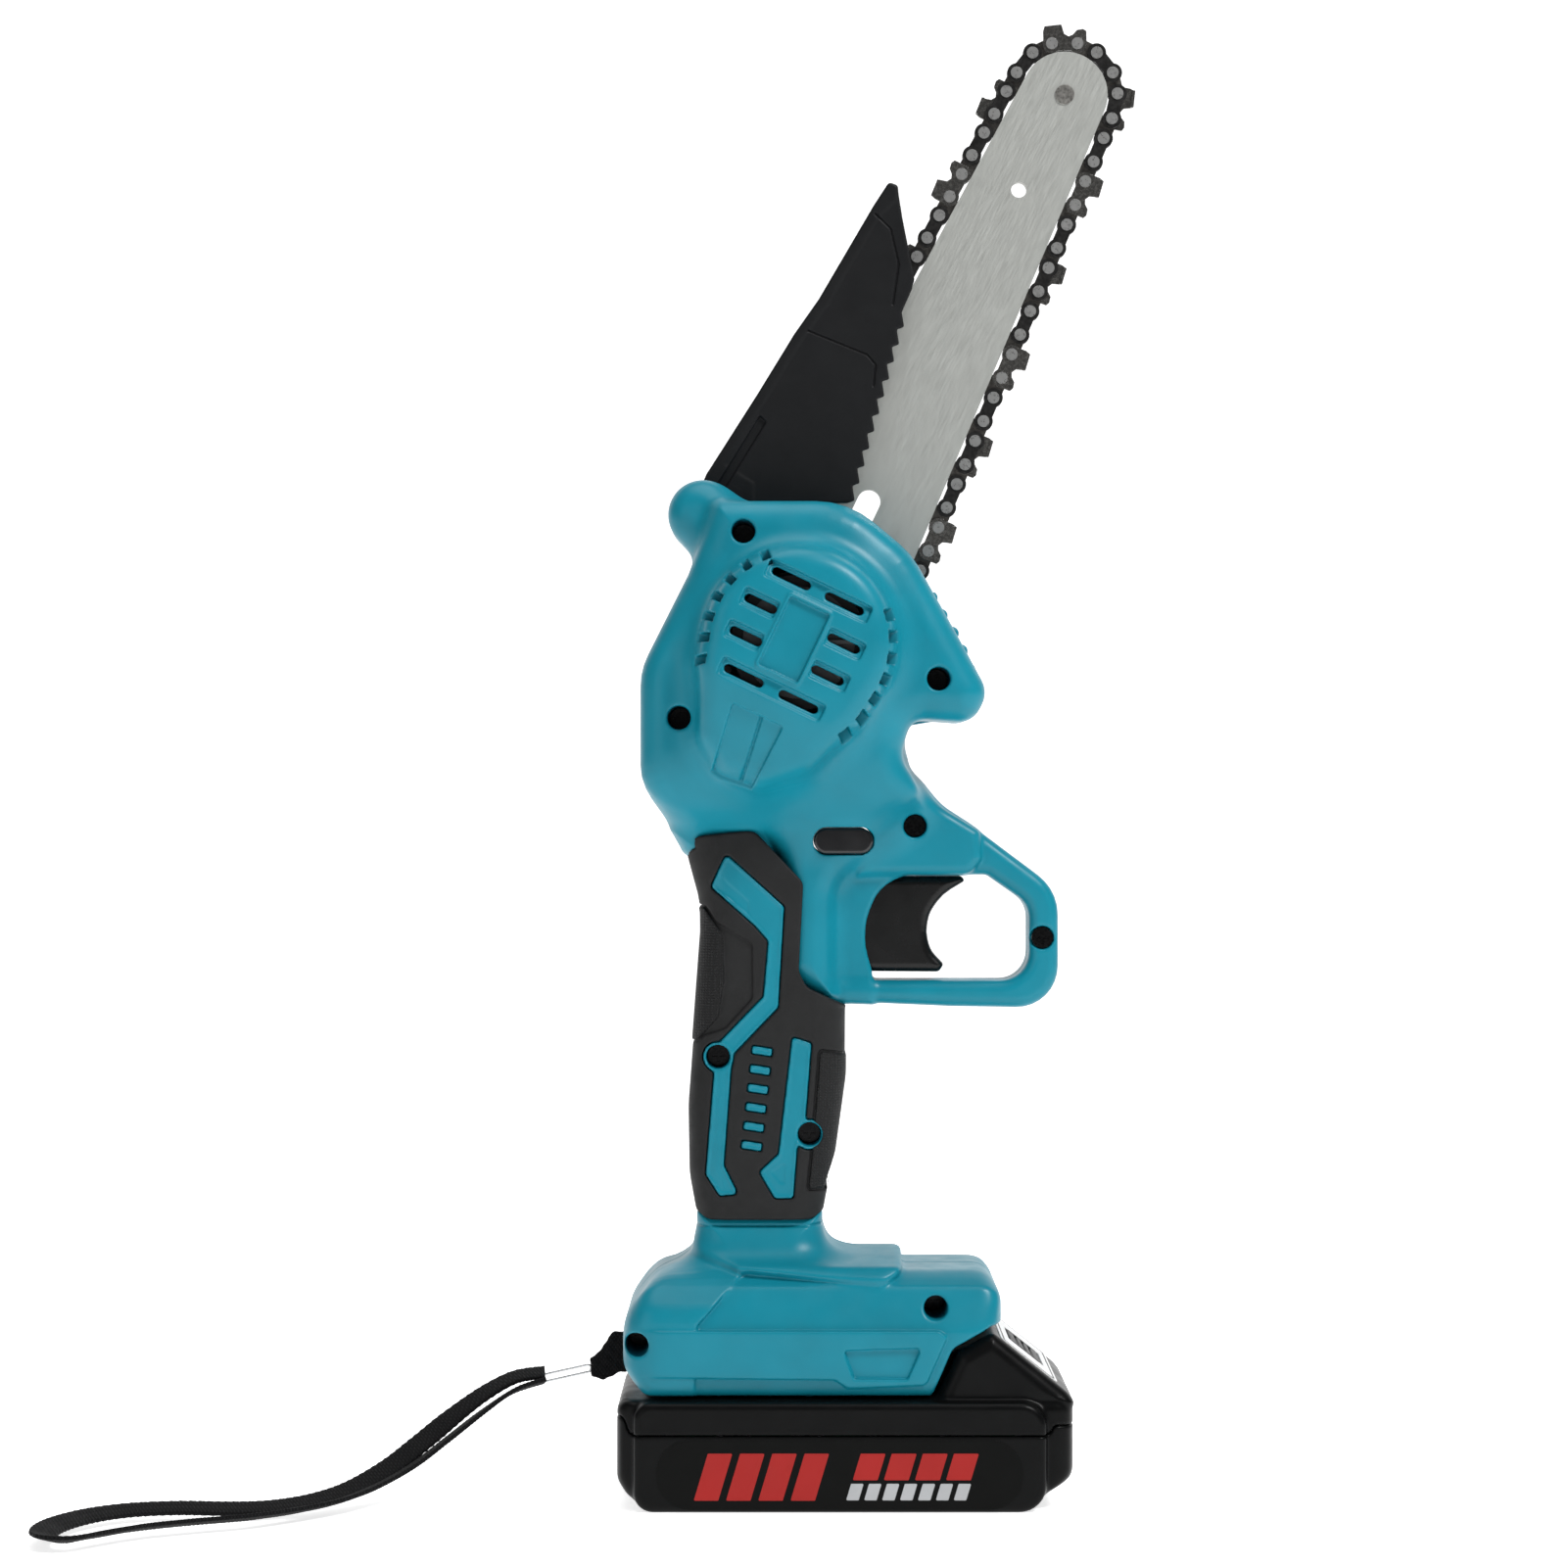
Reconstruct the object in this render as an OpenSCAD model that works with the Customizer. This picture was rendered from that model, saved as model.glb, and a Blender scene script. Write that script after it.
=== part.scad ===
// Mini cordless chainsaw with a 6 inch bar, slide-on battery, blade guard and wrist strap.
// X runs towards the finger guard, Y towards the sprocket cover side, Z up along the grip.
// The origin is the centre of the battery's flat base.

/* [Housing] */
// Half thickness of the head on the motor side
head_half = 30; // [29:0.5:32]
// How far the motor dome stands out from the parting plane
dome_reach = 46; // [46:0.5:50]
// Thickness of the head on the bar side, from the parting plane
bar_side = 9; // [9:0.1:9.2]
// Wall thickness of the moulded shells
wall = 2.5; // [2.2:0.1:2.8]
// Half thickness of the grip over its soft sleeve
grip_half = 18.5; // [18:0.5:21]
// Half thickness of the trigger's finger guard
guard_half = 10; // [9.5:0.5:12]
// Half width of the foot that holds the battery
foot_half = 35; // [35:0.5:37]
// Radius of a countersunk screw well
well_r = 3.1; // [3:0.05:3.3]

/* [Bar and chain] */
// Height of the bar's middle plane along Y
bar_y = 12; // [12:0.1:12.2]
// Lean of the bar from the vertical
bar_lean = 25.7; // [25:0.1:26.5]
// Distance from the drive sprocket's axis to the nose sprocket's axis
bar_reach = 186.2; // [186.15:0.05:186.25]
// Length of a drive link between its rivets
drive_pitch = 5.8; // [5.75:0.01:5.85]
// Length of a tie strap between its rivets
strap_pitch = 6.9; // [6.85:0.01:6.95]
// Number of drive links round the loop
link_count = 36; // [36]
// Radius of the hole near the nose that the saw hangs by
hang_r = 2.1; // [1.8:0.1:2.5]

/* [Drive] */
// Gear module
gear_module = 0.8; // [0.8]
// Teeth on the motor pinion
pinion_teeth = 12; // [12]
// Teeth on the spindle gear
gear_teeth = 38; // [38]
// Radius of the motor can
can_r = 17.5; // [16.8:0.1:17.6]

/* [Controls] */
// Travel of the trigger
trigger_travel = 6; // [4:0.5:6]
// Travel of the lock-off button
lock_travel = 3; // [2:0.5:3]

/* [Battery] */
// Length of the battery pack
pack_l = 120.6; // [120:0.2:122]
// Width of the battery pack
pack_w = 75; // [74:0.5:76]
// Height of the pack's shoulder
pack_h = 28.5; // [28:0.1:28.6]

/* [Wrist strap] */
// Width of the webbing
webbing_w = 7; // [6:0.5:7]
// Thickness of the webbing
webbing_t = 1.4; // [1:0.1:1.6]

/* [Hidden] */
$fn = 48;

teal = "#178a9c";
charcoal = "#2b2c2e";
black = "#161616";
steel = "#b9bcc0";

// Places of the main axes in the X-Z plane
motor_c = [-12.1, 225.6];
bar_dir = [sin(bar_lean), cos(bar_lean)];
bar_side_dir = [cos(bar_lean), -sin(bar_lean)];
gear_distance = gear_module * (pinion_teeth + gear_teeth) / 2;
spindle_c = motor_c - gear_distance * bar_dir;
nose_c = spindle_c + bar_reach * bar_dir;
ear_c = [-37.4, 260.3];
ear_r = 9.2;
lock_c = [-0.2, 174];

// Depths along Y
core_half = grip_half - 2;
block_half = 17;
plate_t = 0.95;
core_t = 1.2;
bar_half_t = core_t / 2 + plate_t;
link_t = 1.05;
can_front = -9;
can_back = -36;
gear_y0 = -3.5;
gear_y1 = 2.5;
running_gap = 0.05;
lead_r = 1.1;

// Screws that join the housing halves: place and depth of the head
screws = [[-26.5, 255, -9], [24.5, 216.5, -9], [-43.3, 206.3, -9], [18.8, 177.9, -8], [52.7, 148.2, -7],
    [-33.3, 117, -8], [-9.2, 96.6, -8], [23.7, 52.3, -8], [-54.2, 42.9, -8]];
screw_head_r = 2.8;
screw_head_h = 2;
screw_r = 1.45;
screw_tip = 7;
boss_r = 4.6;

// Outlines in the X-Z plane, anticlockwise: each corner is X, Z and its round's radius
head_path = [[-42, 172, 0], [5, 172, 0], [22, 184, 6], [14.5, 196, 5], [18, 204.3, 3], [33.5, 205.5, 3],
    [36.5, 213.5, 2.5], [28.5, 230, 20], [17, 250.5, 10], [3, 263.8, 10], [-34, 263.8, 3],
    [-41, 244, 12], [-53.6, 219, 9], [-53.6, 189, 9]];
block_path = [[-14, 129.5, 0], [5.8, 129.5, 0], [5.8, 172, 0], [20, 186, 4], [10, 191, 0], [-14, 191, 0]];
guard_path = [[4, 129.5, 0], [49, 129.5, 8], [57, 138, 6], [57, 160.5, 6], [33, 178.8, 10],
    [19, 188, 4], [4, 188, 0]];
finger_path = [[5.8, 136.8, 0], [46, 136.8, 4], [49, 142, 4], [49, 156.5, 3], [38, 164.9, 2], [5.8, 164.9, 0]];
grip_path = [[-39, 74, 0], [-5.7, 74, 0], [-2.5, 91, 20], [0.4, 112, 20], [0.5, 129.5, 0],
    [-5, 131, 3], [-11.2, 136.5, 4], [-10.8, 163, 3], [-24, 177, 4], [-43.2, 176, 2],
    [-37.5, 155, 30], [-41.3, 104, 40], [-41, 86, 20]];
neck_path = [[-42.5, 58, 0], [-1, 58, 0], [-5.7, 68, 10], [-5.7, 74, 0], [-39, 74, 0], [-39, 68, 10]];
foot_path = [[-53, 29.3, 6], [22.5, 29.3, 1], [28, 42, 4], [38, 47.5, 2], [42.3, 49.5, 2], [42.3, 55, 5],
    [36, 61, 5], [-50, 61, 8], [-59.2, 50, 9], [-59.2, 36.5, 6]];
cover_path = [[-30, 185.5, 10], [-10, 185.5, 12], [9, 192, 6], [13, 204, 4], [31, 207, 3], [34, 213.5, 3],
    [27, 228, 8], [15, 249, 10], [2, 261.5, 8], [-26, 261.5, 10], [-40, 240, 10], [-49, 216, 8],
    [-48, 196, 10]];
cover_y = 25;
trigger_back = -3;
trigger_path = [[trigger_back, 138, 1], [26.8, 137.4, 1.5], [23.4, 147, 12], [25.5, 158, 10], [32.4, 163, 1.5],
    [31, 164.4, 1], [trigger_back, 164, 1]];
blade_guard_path = [[1.2, 264.6], [-30, 264.6], [-37.6, 268], [-36.7, 272.2], [-22.8, 294], [-13, 310],
    [-6.4, 319.4], [8.3, 344.5], [12.4, 350.8], [14.6, 350], [16, 341.3], [19, 326], [18.6, 322.3]];
guard_teeth = 11;
guard_tooth_tip = 1.7;
hump_path = [[23.7, pack_h, 0], [pack_l / 2, pack_h, 0], [38.5, 46, 1.5], [29.3, 40.9, 2], [23.9, 29.3, 0]];

// Battery rail section
rail_x0 = -45.5;
rail_x1 = 34;
rail_half = 27.2;
rail_neck = 24.2;
rail_z0 = 32.7;
rail_z1 = 40.4;
bay_gap = 0.3;
bay_x0 = -49.5;
split_z = 19.9;
button_dir = [0.62, 0.785];
button_c = [48.2, 38.4];

// Wrist strap: one round trip of webbing from the wire link out to the loop's end and back
strap_route = [[-80, -1.5, 29.4], [-88, -4, 27], [-96, -8, 22], [-105, -14, 15.5], [-113, -20, 10],
    [-122, -29, 5.8], [-131, -40, 3.6], [-141, -51, 3], [-152, -61, 3], [-165, -68, 3], [-177, -76, 3],
    [-186, -86, 3], [-192, -93, 3], [-198, -91, 3], [-200, -82, 3], [-198, -70, 3], [-192, -58, 3],
    [-183, -50, 3], [-171, -47, 3], [-159, -48, 3], [-148, -46, 3], [-138, -39, 3.4], [-129, -30, 5],
    [-120, -20, 9], [-112, -12, 14.5], [-104, -5, 20.5], [-96, -1, 26], [-88, 1, 30], [-80, 1.5, 31.2]];
webbing_lean = 38;

// ---- path functions ----
function unit(v) = v / norm(v);
function left_of(v) = [-v[1], v[0]];
function flat2(p) = [p[0], p[1]];
function prev(p, i) = p[(i + len(p) - 1) % len(p)];
function next(p, i) = p[(i + 1) % len(p)];
function wrap180(a) = a > 180 ? a - 360 : a < -180 ? a + 360 : a;

// One rounded corner b between its neighbours a and c
function corner(a, b, c) =
    b[2] == 0 ? [flat2(b)] :
    let (d1 = unit(flat2(a) - flat2(b)), d2 = unit(flat2(c) - flat2(b)))
    let (half = acos(max(-1, min(1, d1 * d2))) / 2)
    half > 89 ? [flat2(b)] :
    let (t = min(b[2] / tan(half), 0.48 * min(norm(flat2(a - b)), norm(flat2(c - b)))), r = t * tan(half))
    let (m = flat2(b) + unit(d1 + d2) * r / sin(half))
    let (s = flat2(b) + d1 * t - m, e = flat2(b) + d2 * t - m)
    let (a0 = atan2(s[1], s[0]), turn = wrap180(atan2(e[1], e[0]) - a0))
    let (steps = max(1, ceil(abs(turn) / 15)))
    [for (k = [0:steps]) m + r * [cos(a0 + turn * k / steps), sin(a0 + turn * k / steps)]];
function rounded(p) = [for (i = [0:len(p) - 1]) each corner(prev(p, i), p[i], next(p, i))];

// The same corners moved inwards by d, with their rounds kept concentric
function inset(p, d) = [for (i = [0:len(p) - 1])
    let (u = unit(flat2(p[i]) - flat2(prev(p, i))), v = unit(flat2(next(p, i)) - flat2(p[i])))
    let (m = left_of(u) + left_of(v), bend = u[0] * v[1] - u[1] * v[0])
    let (q = flat2(p[i]) + m * d / (1 + left_of(u) * left_of(v)))
    [q[0], q[1], p[i][2] == 0 ? 0 : max(0.3, p[i][2] - sign(bend) * d)]];

// ---- shape helpers ----
// A profile drawn in X-Z and filled from y0 to y1
module slab(y0, y1) {
    translate([0, y1, 0]) rotate([90, 0, 0]) linear_extrude(y1 - y0) children();
}

// A disc or rod about a Y axis at c
module disc(c, r, y0, y1) {
    translate([c[0], y1, c[1]]) rotate([90, 0, 0]) cylinder(h = y1 - y0, r = r);
}

// Children drawn about the origin, turned so that local X runs up the bar from the spindle
module along_bar() {
    translate([spindle_c[0], spindle_c[1]]) rotate(90 - bar_lean) children();
}

// A straight-sided slot outline from a to b
module stadium(a, b, r) {
    d = b - a;
    translate(a) circle(r);
    translate(b) circle(r);
    translate(a) rotate(atan2(d[1], d[0])) translate([0, -r]) square([norm(d), 2 * r]);
}

// A round wire through points
module wire(points, r) {
    for (i = [0:len(points) - 2]) {
        d = points[i + 1] - points[i];
        translate(points[i])
            rotate([0, acos(d[2] / norm(d)), atan2(d[1], d[0])])
                cylinder(h = norm(d), r = r, $fn = 24);
    }
    for (i = [1:len(points) - 2]) {
        translate(points[i]) sphere(r, $fn = 24);
    }
}

// A tube swept through points, w wide and t thick, leaning from the reference direction. An edge of 1
// makes it oval, and a smaller edge makes it squarer.
module swept(points, w, t, reference, lean, sides, edge) {
    n = len(points);
    rings = [for (i = [0:n - 1])
        let (along = unit(points[min(i + 1, n - 1)] - points[max(i - 1, 0)]))
        let (side = unit(cross(reference, along)), up = cross(along, side))
        let (wide = side * cos(lean) + up * sin(lean), thin = cross(along, wide))
        for (k = [0:sides - 1])
            let (a = 360 * (k + 0.5) / sides)
            points[i] + wide * w / 2 * sign(cos(a)) * pow(abs(cos(a)), edge)
                + thin * t / 2 * sign(sin(a)) * pow(abs(sin(a)), edge)];
    walls = [for (i = [0:n - 2], k = [0:sides - 1])
        let (k2 = (k + 1) % sides)
        each [[i * sides + k, (i + 1) * sides + k, (i + 1) * sides + k2],
            [i * sides + k, (i + 1) * sides + k2, i * sides + k2]]];
    ends = [[for (k = [0:sides - 1]) k], [for (k = [sides - 1:-1:0]) (n - 1) * sides + k]];
    polyhedron(points = rings, faces = concat(walls, ends), convexity = 8);
}

// A coil spring about local Z, from 0 to h
module coil(h, r, wire_r, turns) {
    steps = turns * 12;
    swept([for (i = [0:steps])
        [r * cos(30 * i), r * sin(30 * i), wire_r + (h - 2 * wire_r) * i / steps]],
        2 * wire_r, 2 * wire_r, [0, 0, 1], 0, 6, 1);
}

// A smooth curve through points, with n pieces between each two
function smooth(p, n) = [for (i = [0:len(p) - 2], k = [0:n - 1]) spline(p, i, k / n), p[len(p) - 1]];
function spline(p, i, t) =
    let (a = p[max(i - 1, 0)], b = p[i], c = p[i + 1], d = p[min(i + 2, len(p) - 1)])
    0.5 * (2 * b + (c - a) * t + (2 * a - 5 * b + 4 * c - d) * t * t + (3 * b - a - 3 * c + d) * t * t * t);

// ---- left housing ----
dome_profile = [[0, dome_reach], [15, dome_reach], [20, dome_reach - 2], [23.5, dome_reach - 6],
    [25.5, head_half + 4], [26.5, head_half - 1], [0, head_half - 1]];
dome_inside = [[0, dome_reach - 2], [15, dome_reach - 2], [19, dome_reach - 4], [21.5, dome_reach - 7.5],
    [23, head_half + 3], [24, head_half - wall - 1], [0, head_half - wall - 1]];

// A solid of revolution about the motor's axis, its height measured towards -Y
module about_motor(profile) {
    translate([motor_c[0], 0, motor_c[1]]) rotate([90, 0, 0]) rotate_extrude() polygon(profile);
}

module dome_vents() {
    translate([motor_c[0], 0, motor_c[1]]) rotate([90, 0, 0]) rotate(-bar_lean) {
        for (side = [-1, 1], k = [-2:2]) {
            translate([side * 12.5, 3.4 * k, dome_reach - 4]) cube([8, 1.8, 9], center = true);
        }
    }
}

module screw_wells(y_outer) {
    for (s = screws) {
        disc(s, well_r, y_outer, s[2]);
        disc(s, screw_r + 0.15, s[2] - 1, 1);
    }
}

module screw_bosses(y0, y1, first, last) {
    for (i = [first:last]) {
        disc(screws[i], boss_r, y0, y1);
    }
}

// The bay that the battery's rails slide in, open towards +X
module battery_bay() {
    translate([bay_x0, -rail_half - bay_gap, rail_z0 - bay_gap])
        cube([110, 2 * (rail_half + bay_gap), rail_z1 - rail_z0 + 2 * bay_gap]);
    translate([bay_x0, -rail_neck - bay_gap, 20])
        cube([110, 2 * (rail_neck + bay_gap), 15]);
}

// Hole in the bay's ceiling for the terminal block
module terminal_hatch() {
    translate([bay_x0, -8, 40]) cube([5.6, 16, 4]);
}

// Room inside the foot above the bay
module foot_room(y0, y1) {
    slab(y0, y1) polygon(rounded([[-48.2, 43.4, 1], [26, 43.4, 1], [36, 50, 2], [36, 56, 2],
        [32, 58.5, 2], [-48.2, 58.5, 2]]));
}

// Passage for the leads through the neck and grip
module grip_room(y0, y1) {
    slab(y0, y1) polygon([[-29, 56], [-15, 56], [-15, 137], [-24, 164], [-28, 182], [-26, 200],
        [-38, 200], [-38, 183], [-33.5, 165], [-32.5, 150], [-29, 128]]);
    slab(y0, y1) polygon([[-30, 136], [3, 136], [3, 166], [-30, 166]]);
}

module trigger_mouth(y0, y1) {
    back = trigger_back - trigger_travel - 0.5;
    slab(y0, y1) polygon([[back, 136.8], [6.5, 136.8], [6.5, 164.9], [back, 164.9]]);
}

module lock_shape(gap) {
    stadium(lock_c - [4.4, 0], lock_c + [4.4, 0], 3.4 + gap);
}

module strap_slot() {
    translate([-62, -1.6, 31.4]) cube([8, 3.2, 11.2]);
}

// Grip under the soft sleeve
module core_shape() {
    polygon(rounded(inset(grip_path, 2)));
    polygon([[-37, 73], [-7.7, 73], [-7.7, 79], [-37, 79]]);
}

// The block's outline below the sprocket cover
module low_block_shape() {
    intersection() {
        polygon(rounded(block_path));
        translate([-30, 120]) square([60, 64]);
    }
}

module left_housing() color(teal) {
    difference() {
        union() {
            slab(-head_half, 0) polygon(rounded(head_path));
            about_motor(dome_profile);
            disc(ear_c, ear_r, -20, 0);
            slab(-block_half, 0) polygon(rounded(block_path));
            difference() {
                slab(-guard_half, 0) polygon(rounded(guard_path));
                slab(-guard_half - 1, 1) polygon(rounded(finger_path));
            }
            slab(-core_half, 0) core_shape();
            slab(-grip_half, 0) polygon(rounded(neck_path));
            slab(-foot_half, 0) polygon(rounded(foot_path));
        }
        difference() {
            union() {
                slab(-head_half + wall, 1) polygon(rounded(inset(head_path, wall)));
                about_motor(dome_inside);
            }
            screw_bosses(-head_half, 2, 0, 2);
            slab(-head_half, 1) polygon([[-60, 160], [60, 160], [60, 184], [14, 196], [-30, 186], [-60, 184]]);
        }
        grip_room(-9, 1);
        difference() {
            foot_room(-foot_half + wall, 1);
            screw_bosses(-foot_half, 2, 7, 7);
        }
        battery_bay();
        terminal_hatch();
        trigger_mouth(-8.3, 1);
        slab(-30, 1) lock_shape(0.3);
        dome_vents();
        disc(ear_c, 2.55, -18, 1);
        screw_wells(-60);
        strap_slot();
    }
}

// ---- right housing ----
pad_a = 33;
pad_b = 58;
stud_at = 47;
tension_at = 44;
tension_off = 9.5;
stud_c = spindle_c + stud_at * bar_dir;
tension_c = spindle_c + tension_at * bar_dir + tension_off * bar_side_dir;

// The pad that the bar lies on, kept inside the head's outline so that the bar's slot shows above it
module bar_pad_shape() {
    intersection() {
        polygon(rounded(inset(head_path, 0.5)));
        along_bar() stadium([pad_a, 0], [pad_b, 0], 9);
    }
}

module right_housing() color(teal) {
    difference() {
        union() {
            slab(0, bar_side) polygon(rounded(head_path));
            disc(ear_c, ear_r, 0, 4.6);
            slab(0, bar_side) polygon(rounded(block_path));
            slab(0, block_half) low_block_shape();
            difference() {
                slab(0, guard_half) polygon(rounded(guard_path));
                slab(-1, guard_half + 1) polygon(rounded(finger_path));
            }
            slab(0, core_half) core_shape();
            slab(0, grip_half) polygon(rounded(neck_path));
            slab(0, foot_half) polygon(rounded(foot_path));
            slab(bar_side - 1, bar_y - bar_half_t) bar_pad_shape();
        }
        difference() {
            slab(-1, bar_side - wall) polygon(rounded(inset(head_path, wall)));
            screw_bosses(-2, 10, 0, 2);
            disc(spindle_c, 10.5, 3, 10);
            disc(stud_c, 6, -2, 10);
            slab(-2, 10) polygon([[-60, 160], [60, 160], [60, 184], [14, 196], [-30, 186], [-60, 184]]);
        }
        grip_room(-1, 9);
        difference() {
            foot_room(-1, foot_half - wall);
            screw_bosses(-2, foot_half, 7, 7);
        }
        battery_bay();
        terminal_hatch();
        trigger_mouth(-1, 8.3);
        slab(-1, 30) lock_shape(0.3);
        disc(ear_c, ear_r + 2, 4.6, 12);
        disc(ear_c, 2.55, -1, 6);
        disc(spindle_c, 8, 2, 7.5);
        disc(spindle_c, 4.5, 2, 12);
        disc(stud_c, 3, 1.5, 12);
        for (s = screws) {
            disc(s, screw_r, -1, screw_tip);
        }
        slab(5.2, 12) along_bar() translate([tension_at - 5, tension_off - 3.6]) square([12, 7.2]);
        tension_run(2.15, 24);
        strap_slot();
    }
}

// The line of the tension screw, parallel to the bar
module tension_run(r, l) {
    translate([spindle_c[0], 7.2, spindle_c[1]]) rotate([90, 0, 0]) rotate(90 - bar_lean)
        translate([tension_at - 4, tension_off, 0]) rotate([0, 90, 0]) cylinder(h = l, r = r, $fn = 32);
}

module tension_pin() color(steel) {
    difference() {
        union() {
            slab(5.6, 9.6) along_bar() translate([tension_at - 3.5, tension_off - 3.2]) square([7, 6.4]);
            slab(9, 13.5) along_bar() translate([tension_at, tension_off]) circle(2.2);
        }
        tension_run(2, 24);
    }
}

module tension_screw() color(steel) {
    tension_run(2, 15);
}

// ---- soft sleeves ----
module grip_sleeve(y0, y1, far) {
    difference() {
        slab(y0, y1) polygon(rounded(grip_path));
        slab(-core_half, core_half) core_shape();
        slab(-block_half, block_half) polygon(rounded(block_path));
        slab(-head_half, 0) polygon(rounded(head_path));
        slab(0, bar_side) polygon(rounded(head_path));
        disc(screws[5], well_r + 0.4, far, -far);
        disc(screws[6], well_r + 0.4, far, -far);
        slab(-30, 30) lock_shape(0.6);
    }
}

module grip_sleeve_left() color(charcoal) {
    grip_sleeve(-grip_half, 0, -40);
}

module grip_sleeve_right() color(charcoal) {
    difference() {
        grip_sleeve(0, grip_half, -0.1);
    }
}

module housing_screws() color("#3a3a3c") {
    for (s = screws) {
        difference() {
            disc(s, screw_head_r, s[2] - screw_head_h, s[2]);
            translate([s[0], s[2] - screw_head_h, s[1]]) cube([3.4, 1.6, 0.7], center = true);
            translate([s[0], s[2] - screw_head_h, s[1]]) cube([0.7, 1.6, 3.4], center = true);
        }
        disc(s, screw_r, s[2], screw_tip - 0.3);
    }
}

// ---- sprocket cover ----
module chain_mouth() {
    slab(bar_side - 1, cover_y - wall) along_bar() polygon([[20, -27], [90, -25], [90, 25], [20, 27]]);
}

module sprocket_cover() color(teal) {
    difference() {
        slab(bar_side, cover_y) polygon(rounded(cover_path));
        difference() {
            slab(bar_side - 1, cover_y - wall) polygon(rounded(inset(cover_path, wall)));
            disc(stud_c, 8, bar_y, cover_y);
            slab(bar_y + bar_half_t, cover_y) along_bar() stadium([40, 0], [56, 0], 7);
        }
        difference() {
            chain_mouth();
            disc(stud_c, 8, bar_y, cover_y);
            slab(bar_y + bar_half_t, cover_y) along_bar() stadium([40, 0], [56, 0], 7);
        }
        slab(bar_side - 1, bar_y + bar_half_t) along_bar() stadium([40, 0], [56, 0], 9.1);
        disc(stud_c, 3.15, bar_side, cover_y + 1);
        disc(stud_c, 6.3, cover_y - 6, cover_y + 1);
        disc(ear_c, ear_r + 2, bar_side - 1, cover_y + 1);
    }
}

module bar_stud() color(steel) {
    disc(stud_c, 3, 1.8, 22.8);
}

module cover_nut() color(steel) {
    difference() {
        union() {
            disc(stud_c, 6, cover_y - 6, cover_y - 5);
            translate([stud_c[0], cover_y - 1.2, stud_c[1]]) rotate([90, 0, 0])
                cylinder(h = 4, r = 5.6, $fn = 6);
        }
        disc(stud_c, 3, cover_y - 8, cover_y + 1);
    }
}

// ---- gearbox and motor ----
module gearbox_plate() color("#8d9094") {
    difference() {
        slab(can_front, gear_y0 - 0.5) {
            translate(motor_c) circle(20);
            translate(spindle_c) circle(12.5);
            translate(motor_c) rotate(-bar_lean) translate([-14, -24]) square([28, 24]);
        }
        disc(motor_c, 6.05, can_front - 1, 0);
        disc(spindle_c, 8, can_front + 0.5, 0);
        for (k = [0:3]) {
            disc(motor_c + 12.5 * [cos(90 * k + 20), sin(90 * k + 20)], 1.3, can_front - 1, 0);
        }
    }
}

module motor_can() color("#9a9da1") {
    difference() {
        union() {
            disc(motor_c, can_r, can_back, can_front);
            disc(motor_c, 6, can_front - 1, can_front + 2.5);
        }
        disc(motor_c, can_r - 1.2, can_back - 1, can_front - 1.4);
        disc(motor_c, 1.68, can_back, can_front + 3);
    }
}

module motor_magnets() color("#4a4644") {
    difference() {
        disc(motor_c, can_r - 1.25, -33, -13);
        disc(motor_c, can_r - 4, -34, -12);
        translate([motor_c[0], -23, motor_c[1]]) cube([7, 30, 40], center = true);
    }
}

module motor_end_cap() color("#202022") {
    difference() {
        disc(motor_c, can_r, can_back - 2.5, can_back);
        disc(motor_c, 1.68, can_back - 4, can_back + 1);
        for (side = [-1, 1]) {
            disc(motor_c + side * [9, 0], 2.2, can_back - 4, can_back + 1);
        }
    }
}

module armature_core() color("#77797c") {
    difference() {
        disc(motor_c, 12.6, -30, -15);
        disc(motor_c, 1.6, -31, -14);
        for (k = [0:4]) {
            a = 72 * k;
            disc(motor_c + 9.2 * [cos(a), sin(a)], 2.6, -31, -14);
            translate([motor_c[0], 0, motor_c[1]]) rotate([90, 0, 0]) rotate(a)
                translate([9.2, -0.7, 14]) cube([5, 1.4, 17]);
        }
    }
}

module armature_windings() color("#a8612a") {
    for (y = [[-32.6, -30], [-15, -12.4]]) {
        difference() {
            disc(motor_c, 11.6, y[0], y[1]);
            disc(motor_c, 5.5, y[0] - 1, y[1] + 1);
        }
    }
    for (k = [0:4]) {
        disc(motor_c + 9.2 * [cos(72 * k), sin(72 * k)], 2.3, -30, -15);
    }
}

module commutator() color("#b06a35") {
    difference() {
        disc(motor_c, 4.6, -35.6, -32.8);
        disc(motor_c, 1.6, -37, -30);
        for (k = [0:4]) {
            translate([motor_c[0], -34, motor_c[1]]) rotate([0, 72 * k, 0])
                translate([4.5, 0, 0]) cube([1.4, 5, 0.5], center = true);
        }
    }
}

module rotor_shaft() color(steel) {
    disc(motor_c, 1.6, -43.2, gear_y1);
}

module cooling_fan() color("#dcdcd8") {
    difference() {
        union() {
            disc(motor_c, 3.4, -43.2, -39.2);
            disc(motor_c, 14.5, -40, -39.2);
            for (k = [0:8]) {
                translate([motor_c[0], 0, motor_c[1]]) rotate([90, 0, 0]) rotate(40 * k)
                    translate([3, -0.5, 39.5]) cube([11.2, 1, 3.5]);
            }
        }
        disc(motor_c, 1.6, -44, -38);
    }
}

// Involute tooth: half its angle at radius q, for z teeth, profile shift x
function inv(a) = tan(a) * 180 / PI - a;
function tooth_half(z, x, q) =
    (90 + 2 * x * tan(20) * 180 / PI) / z + inv(20) - inv(acos(min(1, gear_module * z / 2 * cos(20) / q)))
    - 0.04 / q * 180 / PI;

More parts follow.
